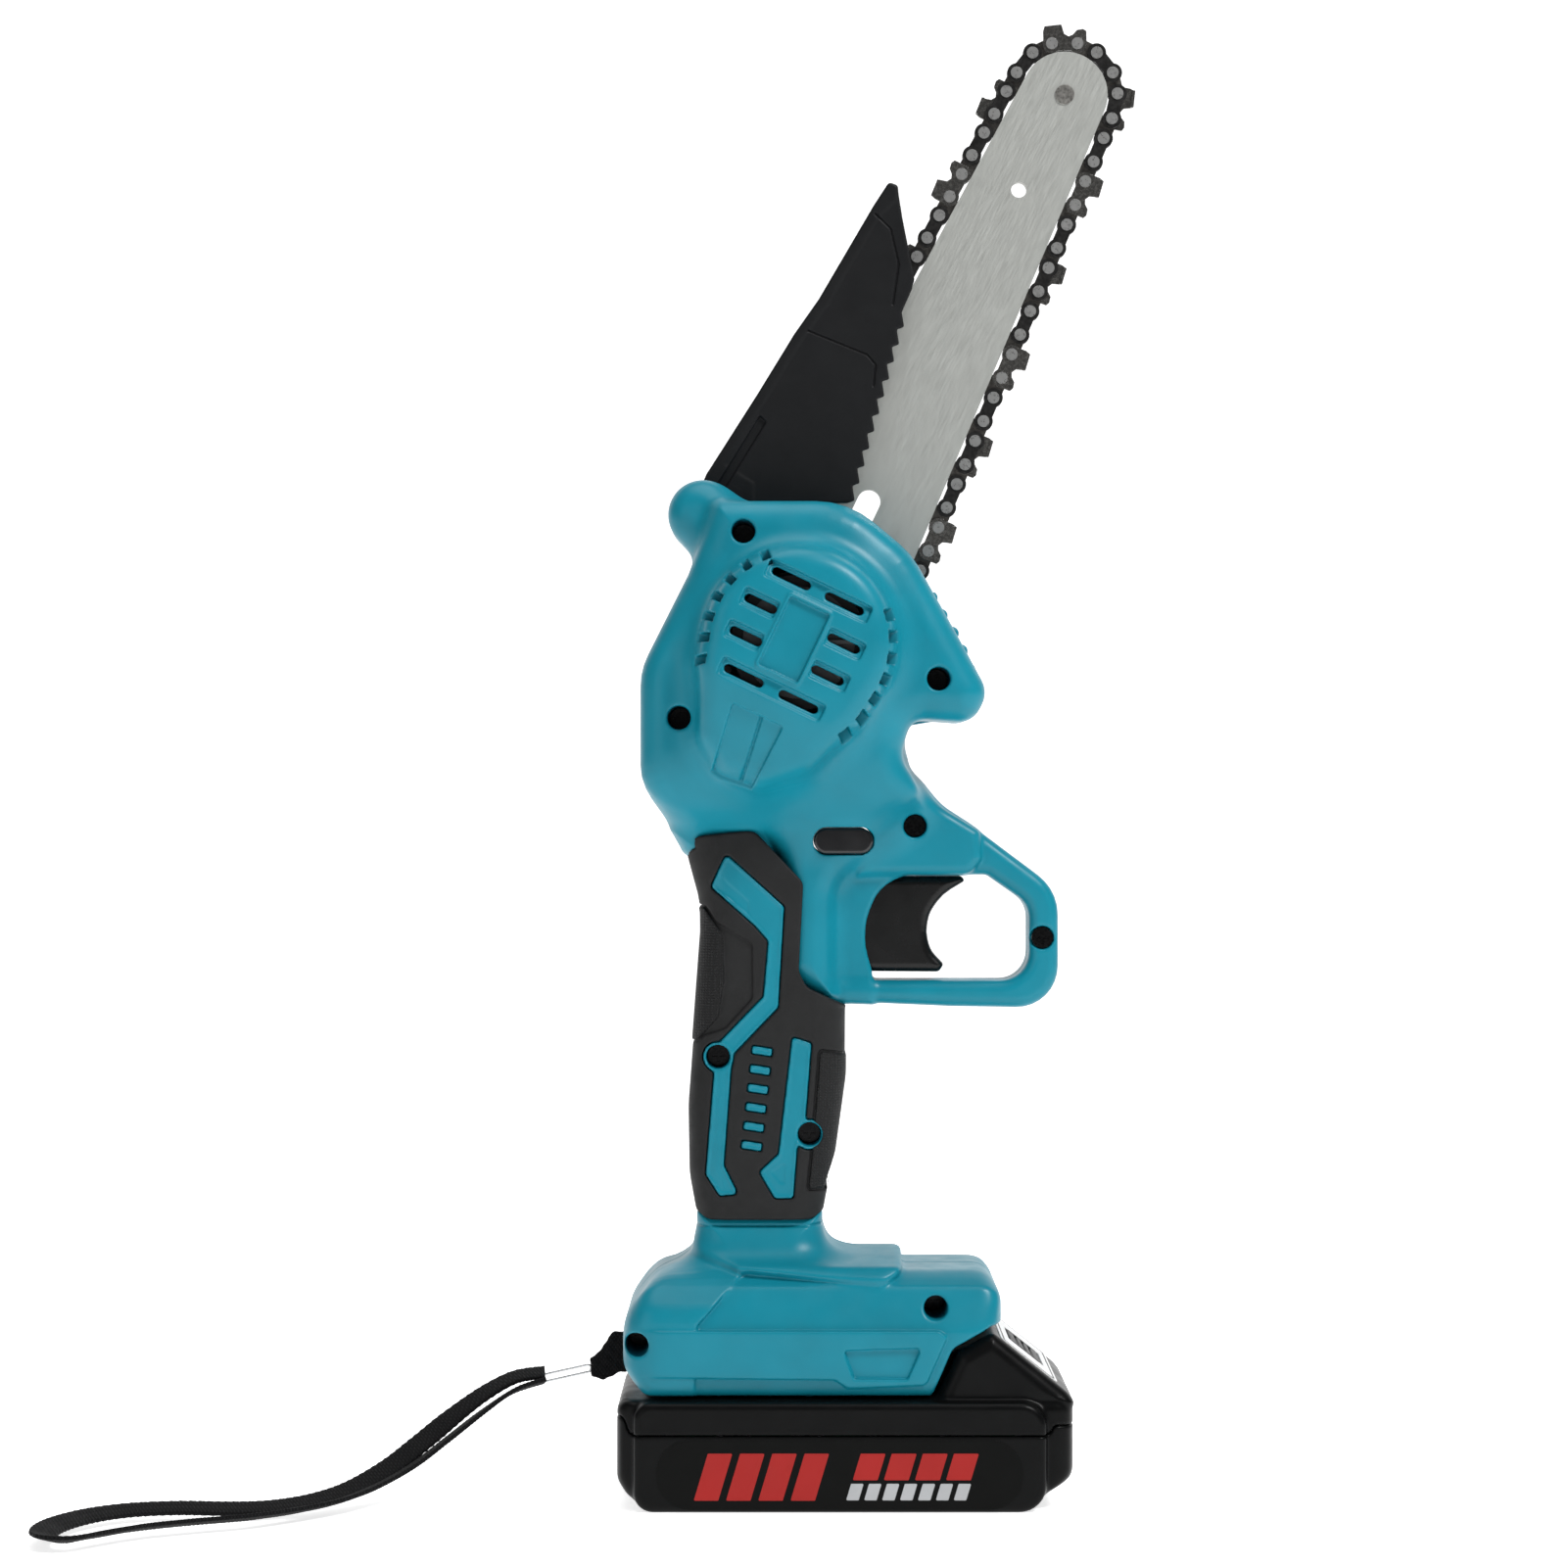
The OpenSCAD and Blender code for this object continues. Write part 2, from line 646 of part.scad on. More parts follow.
module gear_outline(z, x, turn) {
    r = gear_module * z / 2;
    tip = r + gear_module * (1 + x) - 0.05;
    root = r - gear_module * (1.25 - x);
    foot = max(root, r * cos(20) + 0.02);
    steps = 5;
    polygon([for (k = [0:z - 1]) each concat(
        [let (a = turn + 360 * k / z - tooth_half(z, x, foot)) root * [cos(a), sin(a)]],
        [for (j = [0:steps])
            let (q = foot + (tip - foot) * j / steps, a = turn + 360 * k / z - tooth_half(z, x, q))
            q * [cos(a), sin(a)]],
        [for (j = [steps:-1:0])
            let (q = foot + (tip - foot) * j / steps, a = turn + 360 * k / z + tooth_half(z, x, q))
            q * [cos(a), sin(a)]],
        [let (a = turn + 360 * k / z + tooth_half(z, x, foot)) root * [cos(a), sin(a)]])]);
}

module pinion() color(steel) {
    difference() {
        slab(gear_y0, gear_y1) translate(motor_c) gear_outline(pinion_teeth, 0.3, 270 - bar_lean);
        disc(motor_c, 1.6, -5, 4);
    }
}

module spur_gear() color("#8f8a80") {
    difference() {
        slab(gear_y0, gear_y1) translate(spindle_c)
            gear_outline(gear_teeth, -0.3, 90 - bar_lean + 180 / gear_teeth);
        disc(spindle_c, 4, -6, 4);
        for (k = [0:4]) {
            disc(spindle_c + 9 * [cos(72 * k), sin(72 * k)], 2.2, -6, 4);
        }
    }
}

module spindle() color(steel) {
    difference() {
        union() {
            disc(spindle_c, 4, -8.3, 9);
            disc(spindle_c, 3.4, 9, 17);
        }
        difference() {
            disc(spindle_c, 5, 14.9, 15.8);
            disc(spindle_c, 2.8, 14, 17);
        }
    }
}

module spindle_bearings() color("#c3c6ca") {
    for (y = [[-8.5, -4.5], [3.5, 7.5]]) {
        difference() {
            disc(spindle_c, 8, y[0], y[1]);
            disc(spindle_c, 4 + running_gap, y[0] - 1, y[1] + 1);
            difference() {
                disc(spindle_c, 6.8, y[0] - 1, y[0] + 0.4);
                disc(spindle_c, 5.3, y[0] - 1, y[0] + 1);
            }
        }
    }
}

// Chord from one link to the next over a wheel with n teeth, and that wheel's pitch radius
function wheel_chord(n) =
    sqrt(drive_pitch * drive_pitch + strap_pitch * strap_pitch + 2 * drive_pitch * strap_pitch * cos(180 / n));
function wheel_r(n) = wheel_chord(n) / (2 * sin(180 / n));
drive_n = 6;
nose_n = 7;
drive_r = wheel_r(drive_n);
nose_r = wheel_r(nose_n);

module toothed_wheel(c, n, tip_r, gap_r, gap_w, y0, y1, turn) {
    slab(y0, y1) difference() {
        translate(c) circle(tip_r);
        for (k = [0:n - 1]) {
            a = turn + 360 * k / n;
            translate(c) rotate(a) translate([gap_r, -gap_w / 2]) square([tip_r, gap_w]);
        }
    }
}

module drive_sprocket() color("#7c7a76") {
    difference() {
        toothed_wheel(spindle_c, drive_n, 9.4, 5.2, 5.4, 9.6, 14.6, drive_turn);
        disc(spindle_c, 3.4, 9, 15);
    }
}

module sprocket_clip() color(steel) {
    difference() {
        disc(spindle_c, 5.6, 14.95, 15.75);
        disc(spindle_c, 2.8, 14, 17);
        slab(14, 17) translate(spindle_c) rotate(30) translate([0, -2.4]) square([8, 4.8]);
    }
}

// ---- bar ----
rivet_gap = 2.65;
nose_edge_r = nose_r - rivet_gap;
body_edge = 18.5;
tail_at = 24;
shoulder_at = 40;
groove = 5;

module bar_plate_shape() {
    difference() {
        along_bar() {
            polygon([[tail_at, -12], [shoulder_at, -body_edge], [bar_reach, -nose_edge_r],
                [bar_reach, nose_edge_r], [shoulder_at, body_edge], [tail_at, 12]]);
            translate([bar_reach, 0]) circle(nose_edge_r);
        }
        along_bar() stadium([34, 0], [67.3 - 3.15, 0], 3.15);
        along_bar() translate([tension_at, tension_off]) circle(2.5);
        along_bar() translate([bar_reach - 28.6, 0]) circle(hang_r);
        along_bar() translate([bar_reach, 0]) circle(2.6);
    }
}

module bar_core_shape() {
    difference() {
        along_bar() polygon([[tail_at + 6, -7], [shoulder_at, -body_edge + groove],
            [bar_reach - 8, -nose_edge_r + groove + 0.2], [bar_reach - 8, nose_edge_r - groove - 0.2],
            [shoulder_at, body_edge - groove], [tail_at + 6, 7]]);
        along_bar() translate([bar_reach, 0]) circle(nose_edge_r + 0.5);
        along_bar() stadium([34, 0], [67.3 - 3.15, 0], 3.15);
        along_bar() translate([tension_at, tension_off]) circle(2.5);
        along_bar() translate([bar_reach - 28.6, 0]) circle(hang_r);
    }
}

module bar_plate_left() color("#b4b1ab") {
    slab(bar_y - bar_half_t, bar_y - core_t / 2) bar_plate_shape();
}

module bar_plate_right() color("#b4b1ab") {
    slab(bar_y + core_t / 2, bar_y + bar_half_t) bar_plate_shape();
}

module bar_core() color("#8b8984") {
    slab(bar_y - core_t / 2, bar_y + core_t / 2) bar_core_shape();
}

module nose_rivet() color("#55585c") {
    disc(nose_c, 2.6, bar_y - bar_half_t - 0.4, bar_y - core_t / 2);
    disc(nose_c, 2.3, bar_y - core_t / 2, bar_y + core_t / 2);
    disc(nose_c, 2.6, bar_y + core_t / 2, bar_y + bar_half_t + 0.4);
}

module nose_sprocket() color("#7c7a76") {
    difference() {
        toothed_wheel(nose_c, nose_n, nose_r - 3, 6.6, 5.6,
            bar_y - core_t / 2 + 0.08, bar_y + core_t / 2 - 0.08, nose_turn);
        disc(nose_c, 2.3 + running_gap, 10, 14);
    }
}

// ---- chain ----
// Half width of the rivet line along the bar, and where its straight runs start and end
run_half = body_edge + rivet_gap;

// The loop as a closed chain of straight runs and arcs about the spindle's axis, local X up the bar.
// It starts at the sprocket's back and runs up the -Y local side, over the nose and back.
shoulder_pt = [shoulder_at + 1, run_half];
shoulder_angle = atan2(shoulder_pt[1], shoulder_pt[0]);
// Tangent from the shoulder point to the drive circle, and to the nose circle
drive_touch = shoulder_angle + acos(drive_r / norm(shoulder_pt));
drive_pt = drive_r * [cos(drive_touch), sin(drive_touch)];
nose_gap = shoulder_pt - [bar_reach, 0];
nose_touch = atan2(nose_gap[1], nose_gap[0]) - acos(nose_r / norm(nose_gap));
nose_pt = [bar_reach, 0] + nose_r * [cos(nose_touch), sin(nose_touch)];

// Lengths of the parts of half a loop, from the sprocket's back to the nose's front
part_lengths = [
    drive_r * (180 - drive_touch) * PI / 180,
    norm(shoulder_pt - drive_pt),
    norm(nose_pt - shoulder_pt),
    nose_r * nose_touch * PI / 180];
half_loop = part_lengths[0] + part_lengths[1] + part_lengths[2] + part_lengths[3];
loop_length = 2 * half_loop;

// A point on the upper half of the loop (local Y > 0) at distance t from the sprocket's back
function half_point(t) =
    t < part_lengths[0] ?
        let (a = 180 - t / drive_r * 180 / PI) drive_r * [cos(a), sin(a)] :
    t < part_lengths[0] + part_lengths[1] ?
        drive_pt + (shoulder_pt - drive_pt) * (t - part_lengths[0]) / part_lengths[1] :
    t < part_lengths[0] + part_lengths[1] + part_lengths[2] ?
        shoulder_pt + (nose_pt - shoulder_pt) * (t - part_lengths[0] - part_lengths[1]) / part_lengths[2] :
        let (a = nose_touch - (t - half_loop + part_lengths[3]) / nose_r * 180 / PI)
        [bar_reach, 0] + nose_r * [cos(a), sin(a)];
function loop_point(t) =
    let (u = t - loop_length * floor(t / loop_length))
    u <= half_loop ? half_point(u) : let (p = half_point(loop_length - u)) [p[0], -p[1]];

// The next rivet's place a chord c after t, by a few corrections
function step_on(t, c, u, tries) =
    tries == 0 ? u : step_on(t, c, u + c - norm(loop_point(u) - loop_point(t)), tries - 1);
function rivet_places(t, count, made) =
    count == 0 ? made :
    let (c = len(made) % 2 == 0 ? drive_pitch : strap_pitch)
    rivet_places(step_on(t, c, t + c, 6), count - 1, concat(made, [t]));
chain_start = -drive_r * asin(drive_pitch / 2 / drive_r) * PI / 180;
rivet_at = rivet_places(chain_start, 2 * link_count + 1, []);
closing_error = rivet_at[2 * link_count] - loop_length - chain_start;
echo(loop_length = loop_length, closing_error = closing_error);
rivets = [for (i = [0:2 * link_count - 1]) loop_point(rivet_at[i] - closing_error * i / (2 * link_count))];

function to_saw(p) = spindle_c + p[0] * bar_dir + p[1] * left_of(bar_dir);
function chain_pt(i) = to_saw(rivets[i % (2 * link_count)]);

// Turn of each toothed wheel, so that its gaps face the tangs at rest
drive_turn = 270 - bar_lean;
nose_mid = [for (i = [0:link_count - 1])
    let (m = (chain_pt(2 * i) + chain_pt(2 * i + 1)) / 2 - nose_c)
    if (norm(m) < nose_r && m * bar_dir > 0.8 * norm(m)) atan2(m[1], m[0])];
nose_turn = nose_mid[0];
function engaged(i) =
    let (m = (chain_pt(2 * i) + chain_pt(2 * i + 1)) / 2)
    norm(m - spindle_c) < drive_r + 3 || norm(m - nose_c) < nose_r + 2;

// Children drawn with the first rivet at the origin, local X towards the next rivet, local Y outwards
module at_link(i) {
    a = chain_pt(i);
    d = chain_pt(i + 1) - a;
    translate(a) rotate(atan2(d[1], d[0])) children();
}

module drive_link_shape() {
    circle(2.3);
    translate([drive_pitch, 0]) circle(2.3);
    polygon([[0, 2.2], [0, -2.3], [1, -4.4], [2.3, -6.1], [3.5, -6.1], [4.8, -4.4],
        [drive_pitch, -2.3], [drive_pitch, 2.2], [4, 1.8], [1.8, 1.8]]);
}

module strap_shape() {
    circle(2.55);
    translate([strap_pitch, 0]) circle(2.55);
    translate([0, -1.9]) square([strap_pitch, 3.7]);
}

// Cutter seen from the side: gauge ahead, gullet, then the tooth behind
module cutter_shape() {
    strap_shape();
    polygon([[-2.5, 0], [-2.4, 3.4], [-1.4, 3.9], [0.2, 3.6], [1.2, 2.4], [2.4, 1.9], [3.6, 2.6],
        [4.4, 5.1], [8.9, 4.6], [9.3, 3.2], [9.2, 0]]);
}

module plates(y_sign, i) {
    y0 = y_sign < 0 ? bar_y - link_t / 2 - 1 : bar_y + link_t / 2;
    slab(y0, y0 + 1) at_link(i) children();
}

// The chain runs towards the nose on the right and back on the left, so a cutter leads with its gauge
module cutters(y_sign, phase) {
    edge = bar_y + y_sign * (link_t / 2 + 1);
    for (i = [phase:4:link_count - 1]) {
        plates(y_sign, 2 * i + 1) translate([strap_pitch, 0]) mirror([1, 0]) cutter_shape();
        slab(y_sign < 0 ? edge : edge - 2.2, y_sign < 0 ? edge + 2.2 : edge) at_link(2 * i + 1)
            translate([strap_pitch, 0]) mirror([1, 0])
                polygon([[4.1, 4.3], [4.4, 5.1], [8.9, 4.6], [8.8, 3.9]]);
    }
}

near_phase = 1;
far_phase = 3;

module chain_drive_links() color("#6e6a63") {
    for (i = [0:link_count - 1]) {
        if (!engaged(i)) {
            slab(bar_y - link_t / 2, bar_y + link_t / 2) at_link(2 * i) drive_link_shape();
        }
    }
}

module chain_links_engaged() color("#6e6a63") {
    for (i = [0:link_count - 1]) {
        if (engaged(i)) {
            slab(bar_y - link_t / 2, bar_y + link_t / 2) at_link(2 * i) drive_link_shape();
        }
    }
}

module chain_tie_straps() color("#2c2b2a") {
    for (i = [0:link_count - 1]) {
        if (i % 4 != near_phase) {
            plates(-1, 2 * i + 1) strap_shape();
        }
        if (i % 4 != far_phase) {
            plates(1, 2 * i + 1) strap_shape();
        }
    }
}

module chain_cutters_left() color("#7b746a") {
    cutters(-1, near_phase);
}

module chain_cutters_right() color("#7b746a") {
    cutters(1, far_phase);
}

module chain_rivets() color(steel) {
    for (i = [0:2 * link_count - 1], side = [-1, 1]) {
        y = bar_y + side * (link_t / 2 + 1);
        disc(chain_pt(i), 1.6, side < 0 ? y - 0.35 : y, side < 0 ? y : y + 0.35);
    }
}

// ---- trigger, switch and lock ----
module trigger() color(black) {
    difference() {
        slab(-7.6, 7.6) polygon(rounded(trigger_path));
        translate([-3.5, -3.6, 146.4]) cube([6, 7.2, 7.2]);
    }
}

module trigger_spring() color(steel) {
    translate([-9.7, 0, 150]) rotate([0, 90, 0]) coil(12.1, 2.6, 0.4, 5);
}

module switch_module() color("#3c3f45") {
    difference() {
        translate([-29.5, -7, 139]) cube([19.8, 14, 24]);
        for (y = [-4, 4]) {
            translate([-22, y, 138]) cylinder(h = 3, r = 1.3);
            translate([-26, y, 160]) cylinder(h = 4, r = 1.7);
        }
    }
}

module lock_button() color(black) {
    slab(-block_half - 1.6, block_half + 0.5 - lock_travel) lock_shape(0);
}

// ---- blade guard ----
wall_half = 7;
guard_wall = 1.8;
teeth_a = [1.2, 264.6];
teeth_b = [15.8, 316];

// Saw teeth up the free edge, each with a point that stands proud of the line
function teeth_points() = [for (k = [0:guard_teeth - 1])
    let (step = (teeth_b - teeth_a) / guard_teeth, base = teeth_a + step * k)
    each [base, base + step * 0.25 + guard_tooth_tip * [0.96, -0.28]]];
function reversed(p) = [for (i = [len(p) - 1:-1:0]) p[i]];

module blade_guard() color(black) {
    side = concat(blade_guard_path, [teeth_b], reversed(teeth_points()));
    spine = [[-24, 264.6], [-30, 264.6], [-37.6, 268], [-36.7, 272.2], [-22.8, 294], [-13, 310],
        [-6.4, 319.4], [8.3, 344.5], [12.4, 350.8], [14.6, 350], [14.3, 346], [9.6, 341.6], [-4.4, 317.8],
        [-11, 308.6], [-20.8, 292.6], [-32, 275], [-24, 270]];
    difference() {
        union() {
            for (s = [-1, 1]) {
                y = s < 0 ? bar_y - wall_half : bar_y + wall_half - guard_wall;
                slab(y, y + guard_wall) polygon(side);
            }
            slab(bar_y - wall_half, bar_y + wall_half) polygon(spine);
            for (y = [bar_y - wall_half, bar_y + wall_half - 3]) {
                disc(ear_c, 7, y, y + 3);
                slab(y, y + 3) polygon([[-44, 261], [-31, 259], [-27, 268], [-36, 273]]);
            }
        }
        disc(ear_c, 2.5 + running_gap, 0, 30);
        disc(ear_c, 7.4, bar_y - wall_half + 3, bar_y + wall_half - 3);
    }
}

module guard_pin() color(steel) {
    disc(ear_c, 2.5, -16, bar_y + wall_half + 0.3);
    disc(ear_c, 4.4, bar_y + wall_half + 0.3, bar_y + wall_half + 1.8);
}

module guard_spring() color(steel) {
    translate([ear_c[0], bar_y + 3.6, ear_c[1]]) rotate([90, 0, 0]) coil(7.2, 3.6, 0.45, 5);
}

// ---- foot contacts and leads ----
module terminal_block() color("#26282b") {
    difference() {
        union() {
            translate([bay_x0, -20, 32.6]) cube([3.4, 40, 7.9]);
            translate([bay_x0, -8, 40]) cube([3.4, 16, 4]);
        }
        for (y = [-4, 4]) {
            translate([-46.1, y, 41]) cylinder(h = 4, r = lead_r + 0.3);
        }
    }
}

module terminal_blades() color("#c8a45a") {
    for (y = [-12, 0, 12]) {
        translate([bay_x0 + 3.4, y - 0.4, 34]) cube([14, 0.8, 5]);
    }
}

// Battery lead up the grip to the switch, then from the switch to the motor's end cap
module lead(y, to_motor) {
    across = [1, 0.35, -0.3];
    swept(smooth([[-46.1, y, 41.5], [-46.1, y, 43.5], [-45, y, 46.5], [-40, y, 50.5], [-30, y, 53.5],
        [-23, y, 62], [-21, y, 90], [-21, y, 120], [-22, y, 139.5]], 3), 2 * lead_r, 2 * lead_r, across, 0, 8, 1);
    swept(smooth(concat([[-26, y, 161], [-26, y, 163.5], [-26.8, y, 167], [-31, y, 175]], to_motor), 3),
        2 * lead_r, 2 * lead_r, across, 0, 8, 1);
}

module lead_red() color("#a11d1d") {
    lead(-4, [[-32, -4, 186], [-33, -14, 194], [-30.5, -23, 204.5], [-27.2, -27, 210.4], [-26, -36.8, 211.8]]);
}

module lead_black() color("#111111") {
    lead(4, [[-33, 4, 184], [-35, 2, 190], [-36, -10, 199], [-36, -20, 208], [-33.6, -26, 216.8],
        [-30.6, -36.8, 218.7]]);
}

// ---- battery ----
module pack_outline(d) {
    l = pack_l / 2 - d;
    w = pack_w / 2 - d;
    polygon(rounded([[-l, -w, 7], [l, -w, 7], [l, w, 7], [-l, w, 7]]));
}

module battery_case_bottom() color(black) {
    difference() {
        linear_extrude(split_z) pack_outline(0);
        translate([0, 0, wall]) linear_extrude(split_z) pack_outline(wall);
    }
}

module battery_case_top() color(black) {
    difference() {
        union() {
            translate([0, 0, split_z]) linear_extrude(pack_h - split_z) pack_outline(0);
            translate([rail_x0, -rail_neck, pack_h - 1]) cube([rail_x1 - rail_x0, 2 * rail_neck, 6]);
            translate([rail_x0, -rail_half, rail_z0])
                cube([rail_x1 - rail_x0, 2 * rail_half, rail_z1 - rail_z0]);
            slab(-30, 30) polygon(rounded(hump_path));
        }
        translate([0, 0, split_z - 1]) linear_extrude(pack_h - split_z + 1 - wall) pack_outline(wall);
        slab(-18, 18) polygon([[36, 20], [56, 20], [56, 27], [44, 35.5], [38, 38], [36, 36]]);
        for (y = [-12, 0, 12]) {
            translate([rail_x0 - 1, y - 1, 33.4]) cube([18, 2, 8]);
        }
        button_cut(0.3);
        for (x = [-1, 1], y = [-1, 1]) {
            translate([x * 52, y * 29, split_z - 2]) cylinder(h = 5, r = 1.5);
        }
    }
}

// Children placed on the hump's sloping face, local Z out of it
module on_slope() {
    translate([button_c[0], 0, button_c[1]]) rotate([0, atan2(button_dir[0], button_dir[1]), 0]) children();
}

module button_cut(gap) {
    on_slope() translate([-5 - gap, -12 - gap, -9]) cube([10 + 2 * gap, 24 + 2 * gap, 14]);
}

module release_button() color("#242424") {
    on_slope() translate([-5, -12, -3.5]) cube([10, 24, 4.2]);
}

module release_spring() color(steel) {
    on_slope() translate([0, 0, -9.4]) coil(5.8, 2.6, 0.35, 4);
}

module battery_cells() color("#3f8f57") {
    for (k = [-2:2]) {
        translate([k * 19.4, 32.6, 12]) rotate([90, 0, 0]) cylinder(h = 65.2, r = 9.1);
    }
}

module battery_board() color("#1f5a34") {
    translate([-44, -22, 22.4]) cube([70, 44, 1.6]);
}

module battery_label() color("#303235") {
    translate([-48.9, -pack_w / 2 - 0.25, 1.6]) cube([95, 0.25, 16.6]);
}

module battery_screws() color("#3a3a3c") {
    for (x = [-1, 1], y = [-1, 1]) {
        translate([x * 52, y * 29, wall]) cylinder(h = 18, r = 1.45);
        translate([x * 52, y * 29, wall]) cylinder(h = 2, r = 2.8);
    }
}

// ---- wrist strap ----
module strap_anchor() color(black) {
    slab(-1.5, 1.5) polygon([[-56, 42.4], [-56, 31.6], [-59.6, 31.6], [-64, 29.4], [-67.6, 30.4],
        [-68, 35.2], [-65.4, 37], [-62, 42.4]]);
}

module strap_link() color(steel) {
    for (y = [-1.6, 1.6]) {
        wire([[-68.1, y, 32.6], [-79.9, y, 29.9]], 0.45);
    }
}

module wrist_strap() color(black) {
    swept(smooth(strap_route, 2), webbing_w, webbing_t, [0, 0, 1], webbing_lean, 8, 0.35);
}

left_housing();
right_housing();
grip_sleeve_left();
grip_sleeve_right();
housing_screws();
sprocket_cover();
cover_nut();
bar_stud();
tension_pin();
tension_screw();
gearbox_plate();
motor_can();
motor_magnets();
motor_end_cap();
armature_core();
armature_windings();
commutator();
rotor_shaft();
cooling_fan();
pinion();
spur_gear();
spindle();
spindle_bearings();
drive_sprocket();
sprocket_clip();
bar_plate_left();
bar_core();
bar_plate_right();
nose_rivet();
nose_sprocket();
chain_drive_links();
chain_links_engaged();
chain_tie_straps();
chain_cutters_left();
chain_cutters_right();
chain_rivets();
trigger();
trigger_spring();
switch_module();
lock_button();
blade_guard();
guard_pin();
guard_spring();
terminal_block();
terminal_blades();
lead_red();
lead_black();
battery_case_top();
battery_case_bottom();
battery_cells();
battery_board();
battery_label();
battery_screws();
release_button();
release_spring();
strap_anchor();
strap_link();
wrist_strap();
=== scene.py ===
"""Looks of a mini cordless chainsaw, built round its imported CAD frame.

Shapes are worked out in millimetres as distance fields (negative inside) and meshed at that scale;
everything that Blender gets is in metres. X runs towards the finger guard, -Y towards the camera, Z up."""
import functools
import math

import bpy
import numpy as np
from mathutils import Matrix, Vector


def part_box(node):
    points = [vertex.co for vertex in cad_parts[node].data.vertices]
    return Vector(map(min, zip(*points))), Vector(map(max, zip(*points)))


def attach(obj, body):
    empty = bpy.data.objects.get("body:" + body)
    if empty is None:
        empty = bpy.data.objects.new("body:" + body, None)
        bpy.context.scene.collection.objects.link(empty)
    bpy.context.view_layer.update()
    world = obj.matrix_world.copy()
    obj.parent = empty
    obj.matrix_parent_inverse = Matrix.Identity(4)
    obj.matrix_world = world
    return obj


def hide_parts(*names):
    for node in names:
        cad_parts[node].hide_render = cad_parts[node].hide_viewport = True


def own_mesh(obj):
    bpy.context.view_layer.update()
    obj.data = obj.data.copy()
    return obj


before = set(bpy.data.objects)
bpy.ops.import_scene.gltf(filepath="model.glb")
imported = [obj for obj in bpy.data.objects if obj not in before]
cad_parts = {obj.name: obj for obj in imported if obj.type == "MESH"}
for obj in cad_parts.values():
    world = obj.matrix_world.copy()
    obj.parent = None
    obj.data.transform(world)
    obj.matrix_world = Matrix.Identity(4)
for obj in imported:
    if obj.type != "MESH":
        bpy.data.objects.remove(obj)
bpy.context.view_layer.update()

MM = 0.001
COARSE = 1.0


def centre(node):
    """Middle of a CAD node's box at rest, in millimetres."""
    low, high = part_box(node)
    return np.array((low + high) / 2) / MM


def corners(node):
    """Lowest and highest corner of a CAD node at rest, in millimetres."""
    low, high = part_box(node)
    return np.array(low) / MM, np.array(high) / MM


# ---- camera, light and floor ----
CAMERA_AT = (-0.0159, -1.150, 0.189)
FRAME_WIDTH = 0.420
SENSOR = 36.0


def make_camera():
    data = bpy.data.cameras.new("camera")
    data.sensor_width = SENSOR
    data.lens = SENSOR * -CAMERA_AT[1] / FRAME_WIDTH
    camera = bpy.data.objects.new("camera", data)
    camera.location = CAMERA_AT
    camera.rotation_euler = (math.pi / 2, 0, 0)
    bpy.context.scene.collection.objects.link(camera)
    bpy.context.scene.camera = camera


make_camera()

# ---- wrist strap: the route of its webbing, as in the CAD model ----
STRAP_ROUTE = [
    (-80, -1.5, 29.4), (-88, -4, 27), (-96, -8, 22), (-105, -14, 15.5), (-113, -20, 10), (-122, -29, 5.8),
    (-131, -40, 3.6), (-141, -51, 3), (-152, -61, 3), (-165, -68, 3), (-177, -76, 3), (-186, -86, 3),
    (-192, -93, 3), (-198, -91, 3), (-200, -82, 3), (-198, -70, 3), (-192, -58, 3), (-183, -50, 3),
    (-171, -47, 3), (-159, -48, 3), (-148, -46, 3), (-138, -39, 3.4), (-129, -30, 5), (-120, -20, 9),
    (-112, -12, 14.5), (-104, -5, 20.5), (-96, -1, 26), (-88, 1, 30), (-80, 1.5, 31.2)]
WEBBING_WIDTH = 7.0
WEBBING_THICKNESS = 1.4
WEBBING_LEAN = math.radians(17)


def smooth(points, pieces):
    """A smooth curve through points, with so many pieces between each two."""
    points = np.array(points, float)
    last = len(points) - 1
    curve = []
    for i in range(last):
        a, b, c, d = points[max(i - 1, 0)], points[i], points[i + 1], points[min(i + 2, last)]
        for k in range(pieces):
            t = k / pieces
            curve.append(0.5 * (2 * b + (c - a) * t + (2 * a - 5 * b + 4 * c - d) * t ** 2
                                + (3 * b - a - 3 * c + d) * t ** 3))
    curve.append(points[-1])
    return np.array(curve)


def unit(v):
    return v / np.linalg.norm(v)


# ---- meshes ----
def new_object(name, vertices, faces, material, shade_smooth=True):
    """A mesh object from vertices in millimetres. Faces are a list, or an array of quads."""
    mesh = bpy.data.meshes.new(name)
    mesh.from_pydata((np.asarray(vertices, float) * MM).tolist(), [], [list(f) for f in faces])
    mesh.materials.append(material)
    mesh.polygons.foreach_set("use_smooth", [shade_smooth] * len(mesh.polygons))
    mesh.update()
    piece = bpy.data.objects.new(name, mesh)
    bpy.context.scene.collection.objects.link(piece)
    return piece


def tube_faces(rings, count, first=0, closed=False):
    """Faces of a tube of rings with count vertices each, numbered from first: closed in a loop, or capped."""
    faces = [(first + i * count + k, first + i * count + (k + 1) % count,
              first + (i + 1) % rings * count + (k + 1) % count, first + (i + 1) % rings * count + k)
             for i in range(rings if closed else rings - 1) for k in range(count)]
    if not closed:
        faces.append([first + k for k in range(count)][::-1])
        faces.append([first + (rings - 1) * count + k for k in range(count)])
    return faces


